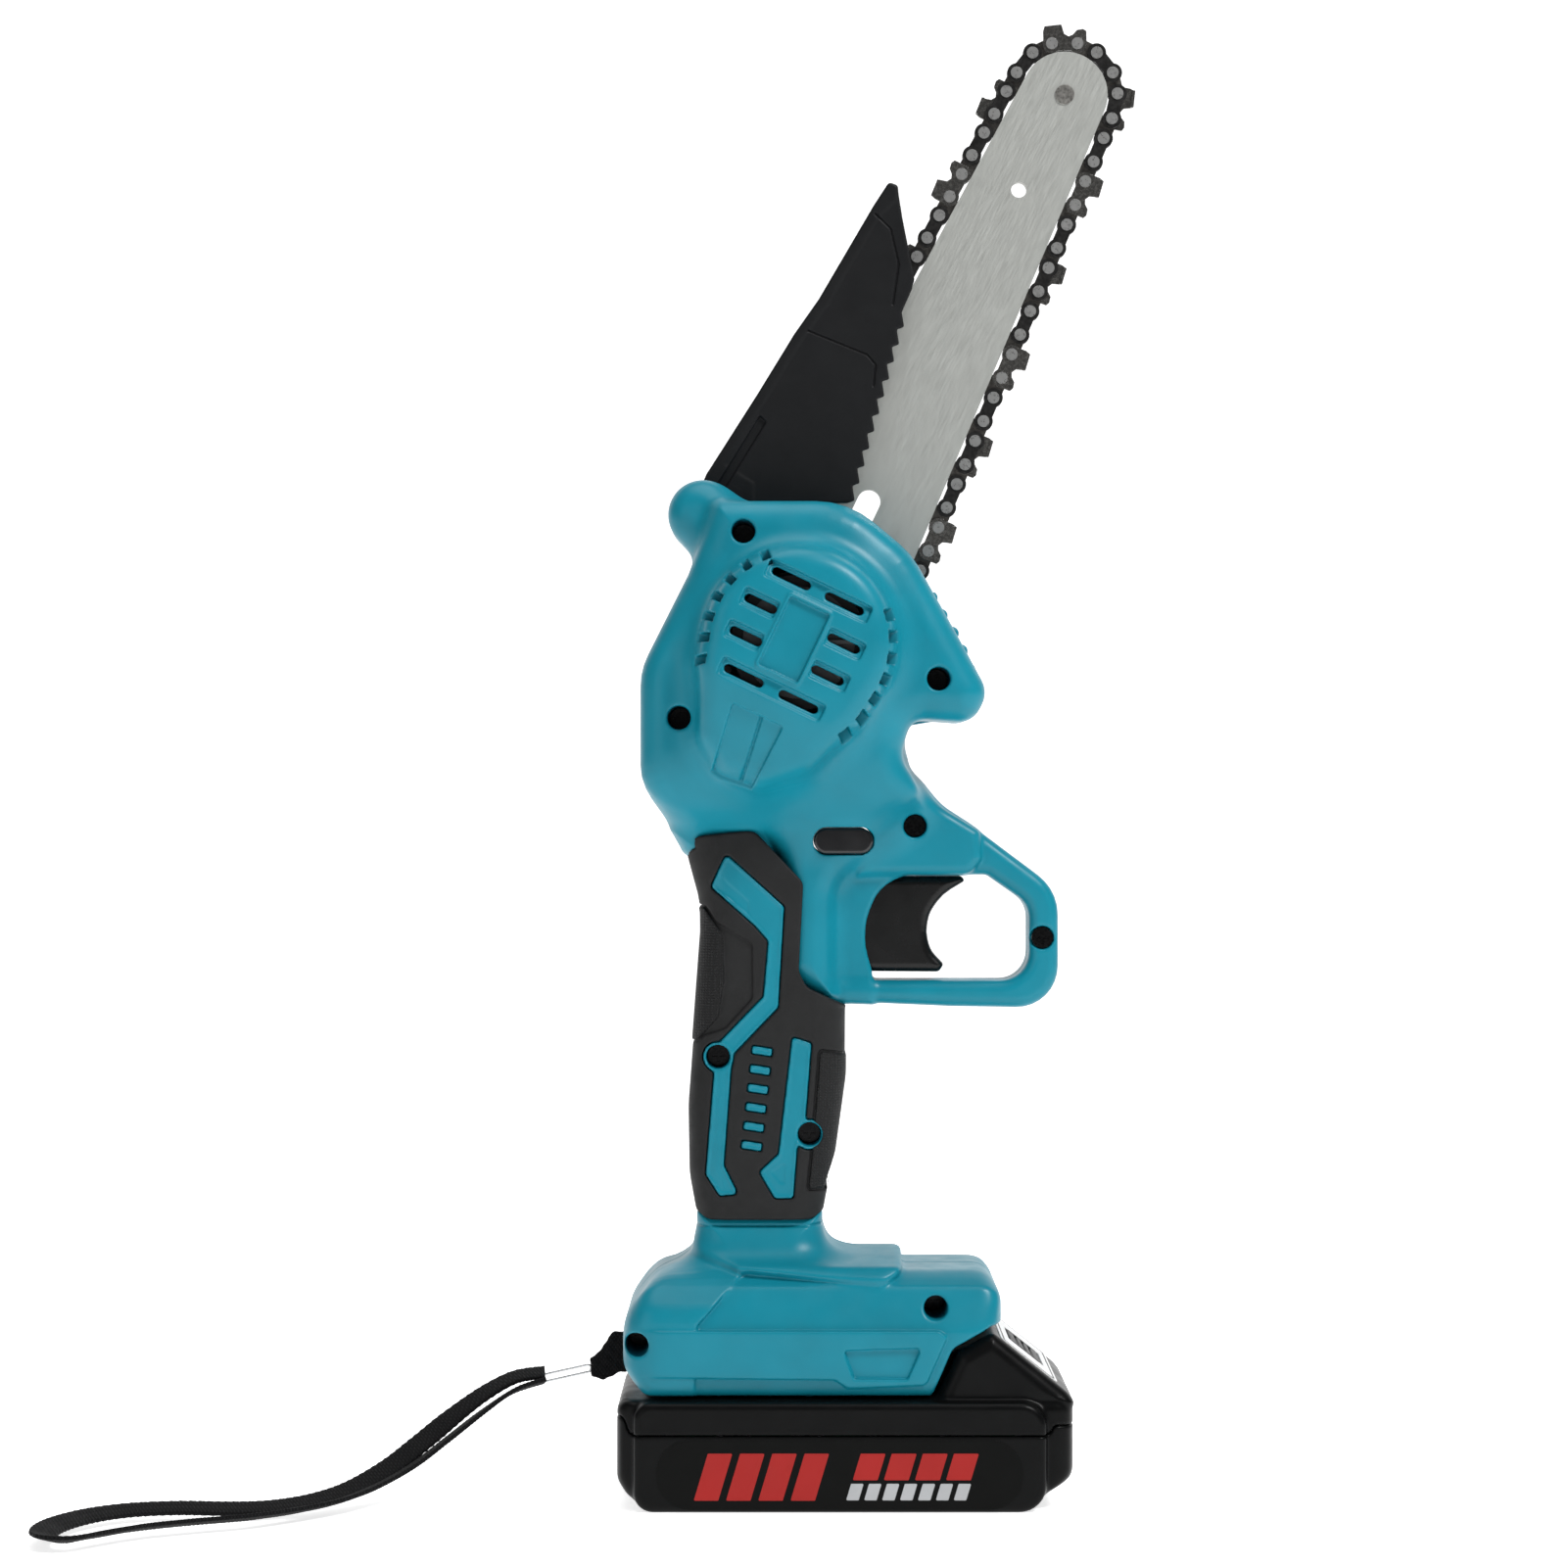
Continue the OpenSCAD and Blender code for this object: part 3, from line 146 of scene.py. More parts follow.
def quad_mesh(name, vertices, quads, material):
    """The same for many quads, filled in at once."""
    mesh = bpy.data.meshes.new(name)
    mesh.vertices.add(len(vertices))
    mesh.vertices.foreach_set("co", (vertices * MM).astype(np.float32).ravel())
    mesh.loops.add(quads.size)
    mesh.loops.foreach_set("vertex_index", quads.astype(np.int32).ravel())
    mesh.polygons.add(len(quads))
    mesh.polygons.foreach_set("loop_start", np.arange(0, quads.size, 4, dtype=np.int32))
    mesh.materials.append(material)
    mesh.update(calc_edges=True)
    mesh.validate()
    piece = bpy.data.objects.new(name, mesh)
    bpy.context.scene.collection.objects.link(piece)
    return piece


# ---- distance fields ----
class Grid:
    """Sample points in a box, in millimetres, with the step to take at full detail."""

    def __init__(self, low, high, step):
        step *= COARSE
        self.low, self.step = np.array(low, float), step
        counts = np.ceil((np.array(high, float) - self.low) / step).astype(int) + 1
        self.shape = tuple(counts)
        lines = [(self.low[i] + step * np.arange(counts[i])).astype(np.float32) for i in range(3)]
        self.x = lines[0][:, None, None]
        self.y = lines[1][None, :, None]
        self.z = lines[2][None, None, :]

    def side(self, path):
        """Distance to an outline in X-Z."""
        return outline(self.x, self.z, path)

    def disc(self, c, r):
        """Distance to a circle in X-Z."""
        return disc(self.x, self.z, c, r)


def grid_round(node, step):
    """Sample points in a CAD node's box and 1 mm round it."""
    low, high = corners(node)
    return Grid(low - 1, high + 1, step)


def rounded(path):
    """The outline of a path of corners (a, b, radius), anticlockwise, with each round as short steps."""
    points = []
    for i, (a, b, radius) in enumerate(path):
        here = np.array([a, b], float)
        back = np.array(path[i - 1][:2], float) - here
        ahead = np.array(path[(i + 1) % len(path)][:2], float) - here
        shorter = min(np.linalg.norm(back), np.linalg.norm(ahead))
        back, ahead = unit(back), unit(ahead)
        half = math.acos(max(-1, min(1, back @ ahead))) / 2
        if radius == 0 or half > math.radians(89):
            points.append(here)
            continue
        reach = min(radius / math.tan(half), 0.48 * shorter)
        r = reach * math.tan(half)
        middle = here + unit(back + ahead) * r / math.sin(half)
        start, end = here + back * reach - middle, here + ahead * reach - middle
        first = math.atan2(start[1], start[0])
        turn = (math.atan2(end[1], end[0]) - first + math.pi) % (2 * math.pi) - math.pi
        steps = max(2, math.ceil(abs(turn) / math.radians(12)))
        for k in range(steps + 1):
            angle = first + turn * k / steps
            points.append(middle + r * np.array([math.cos(angle), math.sin(angle)]))
    return np.array(points)


def outline(a, b, path):
    """Distance to a closed outline at each a, b."""
    points = rounded(path)
    shape = np.broadcast(a, b).shape
    nearest = np.full(shape, 1e9, np.float32)
    inside = np.zeros(shape, bool)
    for (a0, b0), (a1, b1) in zip(points, np.roll(points, -1, 0)):
        da, db = a1 - a0, b1 - b0
        wa, wb = a - np.float32(a0), b - np.float32(b0)
        t = np.clip((wa * da + wb * db) / (da * da + db * db + 1e-12), 0, 1)
        nearest = np.minimum(nearest, (wa - t * da) ** 2 + (wb - t * db) ** 2)
        inside ^= ((b0 <= b) != (b1 <= b)) & ((wa * db - wb * da) * (1 if db > 0 else -1) < 0)
    return (np.sqrt(nearest) * np.where(inside, -1, 1)).astype(np.float32)


def slab(flat, h, h0, h1, edge=0.0):
    """An outline's distance, filled from h0 to h1, with its edges rounded."""
    across = np.abs(h - np.float32((h0 + h1) / 2)) - np.float32((h1 - h0) / 2 - edge)
    flat = flat + np.float32(edge)
    inner = np.minimum(np.maximum(flat, across), 0)
    return inner + np.hypot(np.maximum(flat, 0), np.maximum(across, 0)) - np.float32(edge)


def join(a, b, blend=0.0):
    """Union, with a fillet where blend is above 0."""
    if not blend:
        return np.minimum(a, b)
    mix = np.maximum(blend - np.abs(a - b), 0) / blend
    return np.minimum(a, b) - mix * mix * np.float32(blend / 4)


def joined(shapes):
    """Union of several."""
    return functools.reduce(join, shapes)


def both(a, b, blend=0.0):
    """Intersection, with a rounded edge where blend is above 0."""
    return -join(-a, -b, blend)


def cut(a, b, blend=0.0):
    """a without b."""
    return both(a, -b, blend)


def disc(a, b, c, r):
    """Distance to a circle about c."""
    return np.hypot(a - np.float32(c[0]), b - np.float32(c[1])) - np.float32(r)


def block(a, b, half_a, half_b, r):
    """Distance to a rounded rectangle about the origin of a, b."""
    da, db = np.abs(a) - np.float32(half_a - r), np.abs(b) - np.float32(half_b - r)
    return np.minimum(np.maximum(da, db), 0) + np.hypot(np.maximum(da, 0), np.maximum(db, 0)) - np.float32(r)


def stadium(a, b, half_length, r):
    """Distance to a straight-sided slot along a, about the origin."""
    return np.hypot(np.maximum(np.abs(a) - np.float32(half_length), 0), b) - np.float32(r)


def ramp(t, t0, t1):
    """0 before t0, 1 after t1 and smooth between."""
    s = np.clip((t - np.float32(t0)) / np.float32(t1 - t0), 0, 1)
    return s * s * (3 - 2 * s)


CUBE = [(i, j, k) for i in (0, 1) for j in (0, 1) for k in (0, 1)]


def corner_view(field, at):
    """The field's samples at one corner of every cell."""
    size = field.shape
    return field[tuple(slice(at[i], size[i] - 1 + at[i]) for i in range(3))]


def surface(grid, field):
    """Vertices and quads where the field is zero: one vertex in each cell that the surface crosses."""
    field = np.ascontiguousarray(np.broadcast_to(field, grid.shape), np.float32)
    inside = field < 0
    count = sum(corner_view(inside, c).astype(np.uint8) for c in CUBE)
    crossed = (count > 0) & (count < 8)
    cells = np.argwhere(crossed)
    number = np.full(crossed.shape, -1, np.int32)
    number[crossed] = np.arange(len(cells))
    samples = {c: corner_view(field, c)[crossed] for c in CUBE}
    total = np.zeros((len(cells), 3))
    hits = np.zeros(len(cells))
    for c in CUBE:
        for axis in range(3):
            if c[axis]:
                continue
            d = tuple(1 if i == axis else c[i] for i in range(3))
            f0, f1 = samples[c], samples[d]
            crosses = (f0 < 0) != (f1 < 0)
            t = np.where(crosses, f0 / np.where(crosses, f0 - f1, 1), 0)
            point = np.repeat(np.array([c], float), len(cells), 0)
            point[:, axis] = t
            total += point * crosses[:, None]
            hits += crosses
    vertices = grid.low + (cells + total / hits[:, None]) * grid.step
    quads = []
    for axis in range(3):
        u, v = (axis + 1) % 3, (axis + 2) % 3
        start = inside[tuple(slice(0, -1) if i == axis else slice(1, -1) for i in range(3))]
        end = inside[tuple(slice(1, None) if i == axis else slice(1, -1) for i in range(3))]
        base = np.argwhere(start != end)
        leaving = start[tuple(base.T)]
        base[:, u] += 1
        base[:, v] += 1
        ring = []
        for du, dv in ((0, 0), (-1, 0), (-1, -1), (0, -1)):
            cell = base.copy()
            cell[:, u] += du
            cell[:, v] += dv
            ring.append(number[tuple(cell.T)])
        ring = np.stack(ring, 1)
        quads.append(np.where(leaving[:, None], ring, ring[:, ::-1]))
    return vertices, np.concatenate(quads)


def field_at(grid, field, points):
    """The field between its samples, at points in millimetres."""
    place = (points - grid.low) / grid.step
    place = np.clip(place, 0, np.array(grid.shape) - 1.001)
    cell = place.astype(int)
    part = place - cell
    value = np.zeros(len(points))
    for c in CUBE:
        weight = np.prod(np.where(c, part, 1 - part), 1)
        value += weight * field[tuple((cell + c).T)]
    return value


def slope_at(grid, field, points):
    """The field's direction of steepest rise at points."""
    step = 0.6 * grid.step
    slope = np.stack([field_at(grid, field, points + step * np.eye(3)[i])
                      - field_at(grid, field, points - step * np.eye(3)[i]) for i in range(3)], 1)
    return slope / np.maximum(np.linalg.norm(slope, axis=1), 1e-9)[:, None]


MOST_TRIANGLES = 190_000


def moulded(name, grid, field, material, most=MOST_TRIANGLES):
    """The piece that a field describes, thinned to so many triangles and shaded by the field's own slope."""
    field = np.ascontiguousarray(np.broadcast_to(field, grid.shape), np.float32)
    vertices, quads = surface(grid, field)
    for _ in range(2):
        vertices -= slope_at(grid, field, vertices) * np.clip(
            field_at(grid, field, vertices), -0.3 * grid.step, 0.3 * grid.step)[:, None]
    piece = quad_mesh(name, vertices, quads, material)
    if 2 * len(quads) > most:
        thin = piece.modifiers.new("thin", "DECIMATE")
        thin.ratio = most / (2 * len(quads))
        graph = bpy.context.evaluated_depsgraph_get()
        mesh = bpy.data.meshes.new_from_object(piece.evaluated_get(graph))
        piece.modifiers.clear()
        old, piece.data = piece.data, mesh
        bpy.data.meshes.remove(old)
    mesh = piece.data
    mesh.name = name
    mesh.polygons.foreach_set("use_smooth", [True] * len(mesh.polygons))
    places = np.zeros(len(mesh.vertices) * 3)
    mesh.vertices.foreach_get("co", places)
    normals = slope_at(grid, field, places.reshape(-1, 3) / MM)
    mesh.normals_split_custom_set_from_vertices(normals.tolist())
    return piece


# ---- finishes ----
FINISHES = {}


class Finish:
    """A material's node tree, with short calls for what the finishes share. Places are in millimetres."""

    def __init__(self, name, roughness=0.5, metallic=0.0):
        self.material = FINISHES[name] = bpy.data.materials.new(name)
        self.material.use_nodes = True
        self.tree = self.material.node_tree
        self.tree.nodes.clear()
        self.shader = self.tree.nodes.new("ShaderNodeBsdfPrincipled")
        out = self.tree.nodes.new("ShaderNodeOutputMaterial")
        self.link(self.shader.outputs["BSDF"], out.inputs["Surface"])
        self.shader.inputs["Roughness"].default_value = roughness
        self.shader.inputs["Metallic"].default_value = metallic
        self.place = self.tree.nodes.new("ShaderNodeTexCoord").outputs["Object"]

    def link(self, a, b):
        self.tree.links.new(a, b)

    def feed(self, socket, value):
        if isinstance(value, bpy.types.NodeSocket):
            self.link(value, socket)
        else:
            socket.default_value = value

    def mapped(self, scale, turn=(0, 0, 0), shift=(0, 0, 0)):
        """The place in millimetres, moved by shift, turned and scaled by the three numbers of scale."""
        node = self.tree.nodes.new("ShaderNodeMapping")
        node.vector_type = "TEXTURE"
        self.link(self.place, node.inputs["Vector"])
        node.inputs["Location"].default_value = [s * MM for s in shift]
        node.inputs["Rotation"].default_value = turn
        node.inputs["Scale"].default_value = [MM / s for s in scale]
        return node.outputs["Vector"]

    def noise(self, pitch, detail=2.0, stretch=(1, 1, 1), turn=(0, 0, 0)):
        """Noise from 0 to 1 whose features are about pitch millimetres, stretched along the turned axes."""
        node = self.tree.nodes.new("ShaderNodeTexNoise")
        self.link(self.mapped([1 / (pitch * s) for s in stretch], turn), node.inputs["Vector"])
        node.inputs["Scale"].default_value = 1.0
        node.inputs["Detail"].default_value = detail
        return node.outputs["Fac"]

    def math(self, kind, a, b=0.0):
        node = self.tree.nodes.new("ShaderNodeMath")
        node.operation = kind
        self.feed(node.inputs[0], a)
        self.feed(node.inputs[1], b)
        return node.outputs["Value"]

    def remap(self, value, low, high, to_low, to_high):
        node = self.tree.nodes.new("ShaderNodeMapRange")
        for socket, number in zip(("Value", "From Min", "From Max", "To Min", "To Max"),
                                  (value, low, high, to_low, to_high)):
            self.feed(node.inputs[socket], number)
        return node.outputs["Result"]

    def mix(self, factor, a, b):
        node = self.tree.nodes.new("ShaderNodeMix")
        node.data_type = "RGBA"
        self.feed(node.inputs["Factor"], factor)
        self.feed(node.inputs[6], a)
        self.feed(node.inputs[7], b)
        return node.outputs[2]

    def bump(self, height, depth, under=None):
        """Bump of so many millimetres for a height from 0 to 1."""
        node = self.tree.nodes.new("ShaderNodeBump")
        node.inputs["Distance"].default_value = depth * MM
        self.feed(node.inputs["Height"], height)
        if under is not None:
            self.link(under, node.inputs["Normal"])
        return node.outputs["Normal"]

    def colour(self, value):
        self.feed(self.shader.inputs["Base Color"], value)

    def roughness(self, value):
        self.feed(self.shader.inputs["Roughness"], value)

    def normal(self, value):
        self.link(value, self.shader.inputs["Normal"])


def shade(colour, factor):
    return (*[c * factor for c in colour[:3]], 1.0)


def plastic(name, colour, roughness, grain=0.35, depth=0.02, mottle=0.06, gloss=0.5):
    """Moulded plastic: fine spark-eroded grain, slight mottle and a roughness that varies with handling."""
    f = Finish(name)
    cloud = f.noise(14, 3)
    f.colour(f.mix(f.remap(cloud, 0.3, 0.7, 0, 1), shade(colour, 1 - mottle), shade(colour, 1 + mottle)))
    smear = f.noise(6, 4)
    f.roughness(f.remap(smear, 0.3, 0.7, roughness - 0.05, roughness + 0.05))
    f.normal(f.bump(f.noise(grain, 2), depth, f.bump(f.noise(9, 1), depth)))
    f.shader.inputs["Specular IOR Level"].default_value = gloss


def metal(name, colour, roughness, brush=(1, 1, 1), turn=(0, 0, 0), pitch=0.5, depth=0.012, spread=0.1,
          metallic=1.0):
    """Metal with fine tool marks stretched along brush, and cloudy patches of handling."""
    f = Finish(name, metallic=metallic)
    marks = f.noise(pitch, 3, brush, turn)
    cloud = f.noise(8, 4)
    wear = f.math("ADD", f.math("MULTIPLY", marks, 0.6), f.math("MULTIPLY", cloud, 0.4))
    f.colour(f.mix(f.remap(wear, 0.35, 0.65, 0, 1), shade(colour, 1 - spread), shade(colour, 1 + spread)))
    f.roughness(f.remap(marks, 0.3, 0.7, roughness - 0.06, roughness + 0.08))
    f.normal(f.bump(marks, depth))


def rubber(name, colour):
    """Soft overmoulded grip: matt, with a fine pebbled skin."""
    f = Finish(name)
    f.colour(f.mix(f.remap(f.noise(11, 4), 0.3, 0.7, 0, 1), shade(colour, 0.85), shade(colour, 1.15)))
    f.roughness(f.remap(f.noise(4, 3), 0.3, 0.7, 0.55, 0.68))
    f.normal(f.bump(f.noise(0.28, 2), 0.03))
    f.shader.inputs["Specular IOR Level"].default_value = 0.25


def dotted_rubber(name, colour):
    """The grip's textured pads: closely set raised dots, with painted highlight on their tops and painted
    shade in the hollows between them.
    """
    f = Finish(name, 0.62)
    dots = f.tree.nodes.new("ShaderNodeTexVoronoi")
    dots.inputs["Randomness"].default_value = 0.25
    dots.inputs["Scale"].default_value = 1.0
    f.link(f.mapped((1.4, 1.4, 1.4)), dots.inputs["Vector"])
    height = f.remap(dots.outputs["Distance"], 0.15, 0.5, 1, 0)
    # painted highlight and shade: dot tops 1.5 times lighter, the hollows between the dots 0.6 times darker
    f.colour(f.mix(height, shade(colour, 0.6), shade(colour, 1.5)))
    f.normal(f.bump(height, 0.22, f.bump(f.noise(0.3, 2), 0.02)))
    f.shader.inputs["Specular IOR Level"].default_value = 0.25


def webbing_finish(name, colour):
    """Woven nylon: a fine diagonal weave, with painted highlight on the threads' raised tops and painted
    shade between them.
    """
    f = Finish(name, 0.85)
    waves = []
    for turn in (0.6, -0.6):
        node = f.tree.nodes.new("ShaderNodeTexWave")
        node.inputs["Scale"].default_value = 1.0
        node.inputs["Distortion"].default_value = 0.6
        f.link(f.mapped((0.42, 0.42, 0.42), (0, turn, 0.3)), node.inputs["Vector"])
        waves.append(node.outputs["Fac"])
    weave = f.math("MULTIPLY", waves[0], waves[1])
    # painted highlight and shade: the colour runs from 0.6 times darker between the threads to 1.8 times
    # lighter on their tops
    f.colour(f.mix(weave, shade(colour, 0.6), shade(colour, 1.8)))
    f.normal(f.bump(weave, 0.15, f.bump(f.noise(0.3, 3), 0.05)))
    f.shader.inputs["Specular IOR Level"].default_value = 0.12
    f.shader.inputs["Sheen Weight"].default_value = 0.03


LEAN_TURN = (0, math.radians(25.7), 0)
TEAL = (0.0035, 0.198, 0.272)
plastic("teal_housing", TEAL, 0.36, 0.4, 0.015, gloss=0.25)
rubber("soft_grip", (0.0105, 0.0108, 0.0112))
plastic("black_plastic", (0.006, 0.0063, 0.0066), 0.42, 0.4, 0.02, 0.1, 0.25)
plastic("satin_black", (0.0045, 0.0047, 0.0048), 0.26, 0.4, 0.006, 0.08, 0.25)
plastic("guard_black", (0.0062, 0.0066, 0.0074), 0.50, 0.5, 0.02, 0.1, 0.18)
dotted_rubber("grip_texture", (0.010, 0.0103, 0.0107))
plastic("gloss_black", (0.010, 0.010, 0.011), 0.14, 0.5, 0.004, 0.05)
plastic("battery_plastic", (0.0026, 0.0028, 0.0029), 0.33, 0.35, 0.015, 0.1, 0.10)
plastic("label", (0.0026, 0.0028, 0.0026), 0.38, 0.6, 0.004, 0.08, 0.08)
plastic("print_red", (0.33, 0.013, 0.011), 0.38, 0.6, 0.004, 0.05, 0.2)
plastic("print_silver", (0.38, 0.39, 0.40), 0.38, 0.6, 0.004, 0.05, 0.3)
plastic("print_white", (0.80, 0.80, 0.80), 0.42, 0.6, 0.004, 0.03)
metal("screw_black", (0.012, 0.012, 0.0125), 0.20, pitch=0.6, spread=0.3)
metal("zinc_steel", (0.56, 0.57, 0.58), 0.28, pitch=0.7)
metal("bar_steel", (0.47, 0.48, 0.455), 0.42, (1, 1, 20), LEAN_TURN, 0.30, 0.004, 0.025, 0.7)
metal("bar_core_steel", (0.30, 0.29, 0.27), 0.45, pitch=0.8)
metal("chain_steel", (0.10, 0.095, 0.088), 0.38, pitch=0.8, spread=0.25)
metal("chain_black", (0.020, 0.0195, 0.019), 0.34, pitch=0.9, spread=0.35, metallic=0.6)
metal("cutter_steel", (0.21, 0.205, 0.195), 0.24, pitch=0.8, depth=0.006, spread=0.15)
metal("rivet_steel", (0.31, 0.31, 0.305), 0.30, pitch=0.9, depth=0.002, spread=0.06, metallic=0.65)
metal("gear_steel", (0.33, 0.32, 0.30), 0.36, pitch=0.7, spread=0.2)
metal("cast_alloy", (0.42, 0.43, 0.44), 0.52, pitch=0.5, depth=0.06)
metal("motor_steel", (0.45, 0.46, 0.47), 0.34, (1, 12, 1), pitch=0.4)
metal("magnet", (0.10, 0.095, 0.09), 0.6, pitch=0.5, metallic=0.4)
metal("copper", (0.60, 0.24, 0.10), 0.36, (1, 1, 1), pitch=0.5, spread=0.2)
plastic("fan_plastic", (0.02, 0.021, 0.022), 0.42)
metal("contact_brass", (0.62, 0.44, 0.16), 0.30)
plastic("wire_red", (0.42, 0.015, 0.012), 0.38)
plastic("wire_black", (0.010, 0.010, 0.010), 0.40)
plastic("cell_wrap", (0.03, 0.24, 0.10), 0.30)
plastic("circuit_board", (0.012, 0.11, 0.045), 0.42)
webbing_finish("webbing", (0.0055, 0.0055, 0.006))

KEPT_NODES = {
    "screw_black": ["housing_screws", "battery_screws"],
    "zinc_steel": ["cover_nut", "bar_stud", "tension_pin", "tension_screw", "rotor_shaft", "spindle",
                   "spindle_bearings", "sprocket_clip", "guard_pin", "guard_spring"],
    "cast_alloy": ["gearbox_plate"],
    "motor_steel": ["motor_can", "armature_core"],
    "magnet": ["motor_magnets"],
    "black_plastic": ["motor_end_cap", "switch_module", "terminal_block"],
    "copper": ["armature_windings", "commutator"],
    "fan_plastic": ["cooling_fan"],
    "gear_steel": ["nose_rivet", "pinion", "spur_gear", "drive_sprocket", "nose_sprocket"],
    "bar_steel": ["bar_plate_left", "bar_plate_right"],
    "bar_core_steel": ["bar_core"],
    "chain_steel": ["chain_drive_links", "chain_links_engaged"],
    "chain_black": ["chain_tie_straps"],
    "cutter_steel": ["chain_cutters_left", "chain_cutters_right"],
    "rivet_steel": ["chain_rivets"],
    "contact_brass": ["terminal_blades"],
    "wire_red": ["lead_red"],
    "wire_black": ["lead_black"],
    "cell_wrap": ["battery_cells"],
    "circuit_board": ["battery_board"],
}
EDGED_NODES = ["chain_drive_links", "chain_tie_straps", "chain_cutters_left", "chain_cutters_right",
               "chain_rivets", "nose_rivet", "cover_nut", "housing_screws"]


def finish_kept_nodes():
    """CAD nodes whose shape is right keep it and get their finish, and the ones in sight a broken edge."""
    for finish, nodes in KEPT_NODES.items():
        for node in nodes:
            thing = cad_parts[node]
            thing.data.materials.clear()
            thing.data.materials.append(FINISHES[finish])
    for node in EDGED_NODES:
        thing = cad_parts[node]
        weld = thing.modifiers.new("weld", "WELD")
        weld.merge_threshold = 0.000002
        bevel = thing.modifiers.new("broken_edge", "BEVEL")
        bevel.width = 0.00013
        bevel.segments = 2
        bevel.limit_method = "ANGLE"
        bevel.angle_limit = math.radians(35)
        bevel.harden_normals = True


def place(piece, body, finish, *replaced):
    """A piece rides on its body and stands for CAD nodes."""
    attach(piece, body)
    if replaced:
        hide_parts(*replaced)


def mould(name, grid, field, finish, body, node):
    """The piece that a field describes, on its body, for a CAD node."""
    place(moulded(name, grid, field, FINISHES[finish]), body, finish, node)


# ---- studio ----
def make_studio():
    scene = bpy.context.scene
    scene.view_settings.view_transform = "Standard"
    world = bpy.data.worlds.new("studio")
    scene.world = world
    world.use_nodes = True
    world.node_tree.nodes["Background"].inputs["Color"].default_value = (1, 1, 1, 1)
    world.node_tree.nodes["Background"].inputs["Strength"].default_value = 0.17
    lamps = [("key", (0.70, -0.66, 1.22), 0.36, 16.0), ("fill", (-0.90, -0.95, 0.45), 0.7, 1.6),
             ("top", (-0.10, -0.05, 1.30), 0.8, 5.0)]
    for name, at, size, power in lamps:
        data = bpy.data.lights.new(name, "AREA")
        data.size = size
        data.energy = power
        lamp = bpy.data.objects.new(name, data)
        lamp.location = at
        aim = Vector((0, 0, 0.2)) - Vector(at)
        lamp.rotation_euler = aim.to_track_quat("-Z", "Y").to_euler()
        scene.collection.objects.link(lamp)


def make_backdrop():
    """A pale floor that curves up into a wall behind, in metres."""
    front, back, bend, top, half = -2.6, 1.6, 1.2, 3.6, 4.0
    profile = [(front, 0.0)]
    for k in range(17):
        angle = math.pi / 2 * k / 16
        profile.append((back + bend * math.sin(angle), bend * (1 - math.cos(angle))))
    profile.append((back + bend, top))
    vertices = [(x, y, z) for y, z in profile for x in (-half, half)]
    faces = [(2 * i, 2 * i + 1, 2 * i + 3, 2 * i + 2) for i in range(len(profile) - 1)]
    paper = Finish("backdrop_paper", 0.9)
    paper.colour(paper.mix(paper.noise(40), (0.88, 0.88, 0.88, 1), (0.92, 0.92, 0.92, 1)))
    paper.shader.inputs["Emission Color"].default_value = (1, 1, 1, 1)
    paper.shader.inputs["Emission Strength"].default_value = 0.72
    new_object("backdrop", np.array(vertices) / MM, faces, paper.material)


finish_kept_nodes()
make_studio()
make_backdrop()


# ---- wrist strap ----
def webbing_profile(count):
    """Half extents (across, through) of the webbing's section, round its selvedges."""
    angles = 2 * math.pi * (np.arange(count) + 0.5) / count
    c, s = np.cos(angles), np.sin(angles)
    return np.stack([np.sign(c) * np.abs(c) ** 0.5, np.sign(s) * np.abs(s) ** 0.32], 1)


def make_wrist_strap():
    path = smooth(STRAP_ROUTE, 24)
    steps = np.linalg.norm(np.diff(path, axis=0), axis=1)
    along = np.concatenate([[0], np.cumsum(steps)])
    length = along[-1]
    rings = int(length / 0.55)
    marks = np.linspace(0, length, rings)
    points = np.stack([np.interp(marks, along, path[:, i]) for i in range(3)], 1)
    section = webbing_profile(20)
    vertices = []
    for i, point in enumerate(points):
        forward = unit(points[min(i + 1, rings - 1)] - points[max(i - 1, 0)])
        side = unit(np.cross((0, 0, 1), forward))
        up = np.cross(forward, side)
        wide = side * math.cos(WEBBING_LEAN) + up * math.sin(WEBBING_LEAN)
        thin = np.cross(forward, wide)
        scallop = 0.965 + 0.035 * math.sin(2 * math.pi * marks[i] / 2.3)
        rib = 0.90 + 0.10 * math.sin(2 * math.pi * marks[i] / 1.15)
        across, through = WEBBING_WIDTH / 2 * scallop, WEBBING_THICKNESS / 2 * rib
        vertices += [point + wide * a * across + thin * b * through for a, b in section]
    strap = new_object("wrist_strap_webbing", vertices, tube_faces(rings, len(section)), FINISHES["webbing"])
    place(strap, "tool", "webbing", "wrist_strap")
    return strap, points * MM, length * MM


strap, strap_path, strap_length = make_wrist_strap()

# ---- the housing's shape: axes from the frame, outlines in X-Z as in the CAD model ----
MOTOR = centre("motor_can")[[0, 2]]
SPINDLE = centre("spindle_bearings")[[0, 2]]
EAR = centre("guard_pin")[[0, 2]]
LOCK = centre("lock_button")[[0, 2]]
UP_BAR = unit(MOTOR - SPINDLE)
ACROSS_BAR = np.array([UP_BAR[1], -UP_BAR[0]])
HEAD_HALF = 30.0
DOME_REACH = 46.0
BAR_SIDE = 9.0
WALL = 2.5
GRIP_HALF = 18.5
BLOCK_HALF = 17.0
GUARD_HALF = 10.0
FOOT_HALF = 35.0
WELL_R = 3.1
SCREW_R = 1.6
BOSS_R = 4.6
SEAM = 0.07
SCREWS = [(-26.5, 255, 9), (24.5, 216.5, 9), (-43.3, 206.3, 9), (18.8, 177.9, 8), (52.7, 148.2, 7),
          (-33.3, 117, 8), (-9.2, 96.6, 8), (23.7, 52.3, 8), (-54.2, 42.9, 8)]
HEAD_SCREWS, GRIP_SCREWS, FOOT_SCREWS = SCREWS[:3], SCREWS[5:7], SCREWS[7:8]
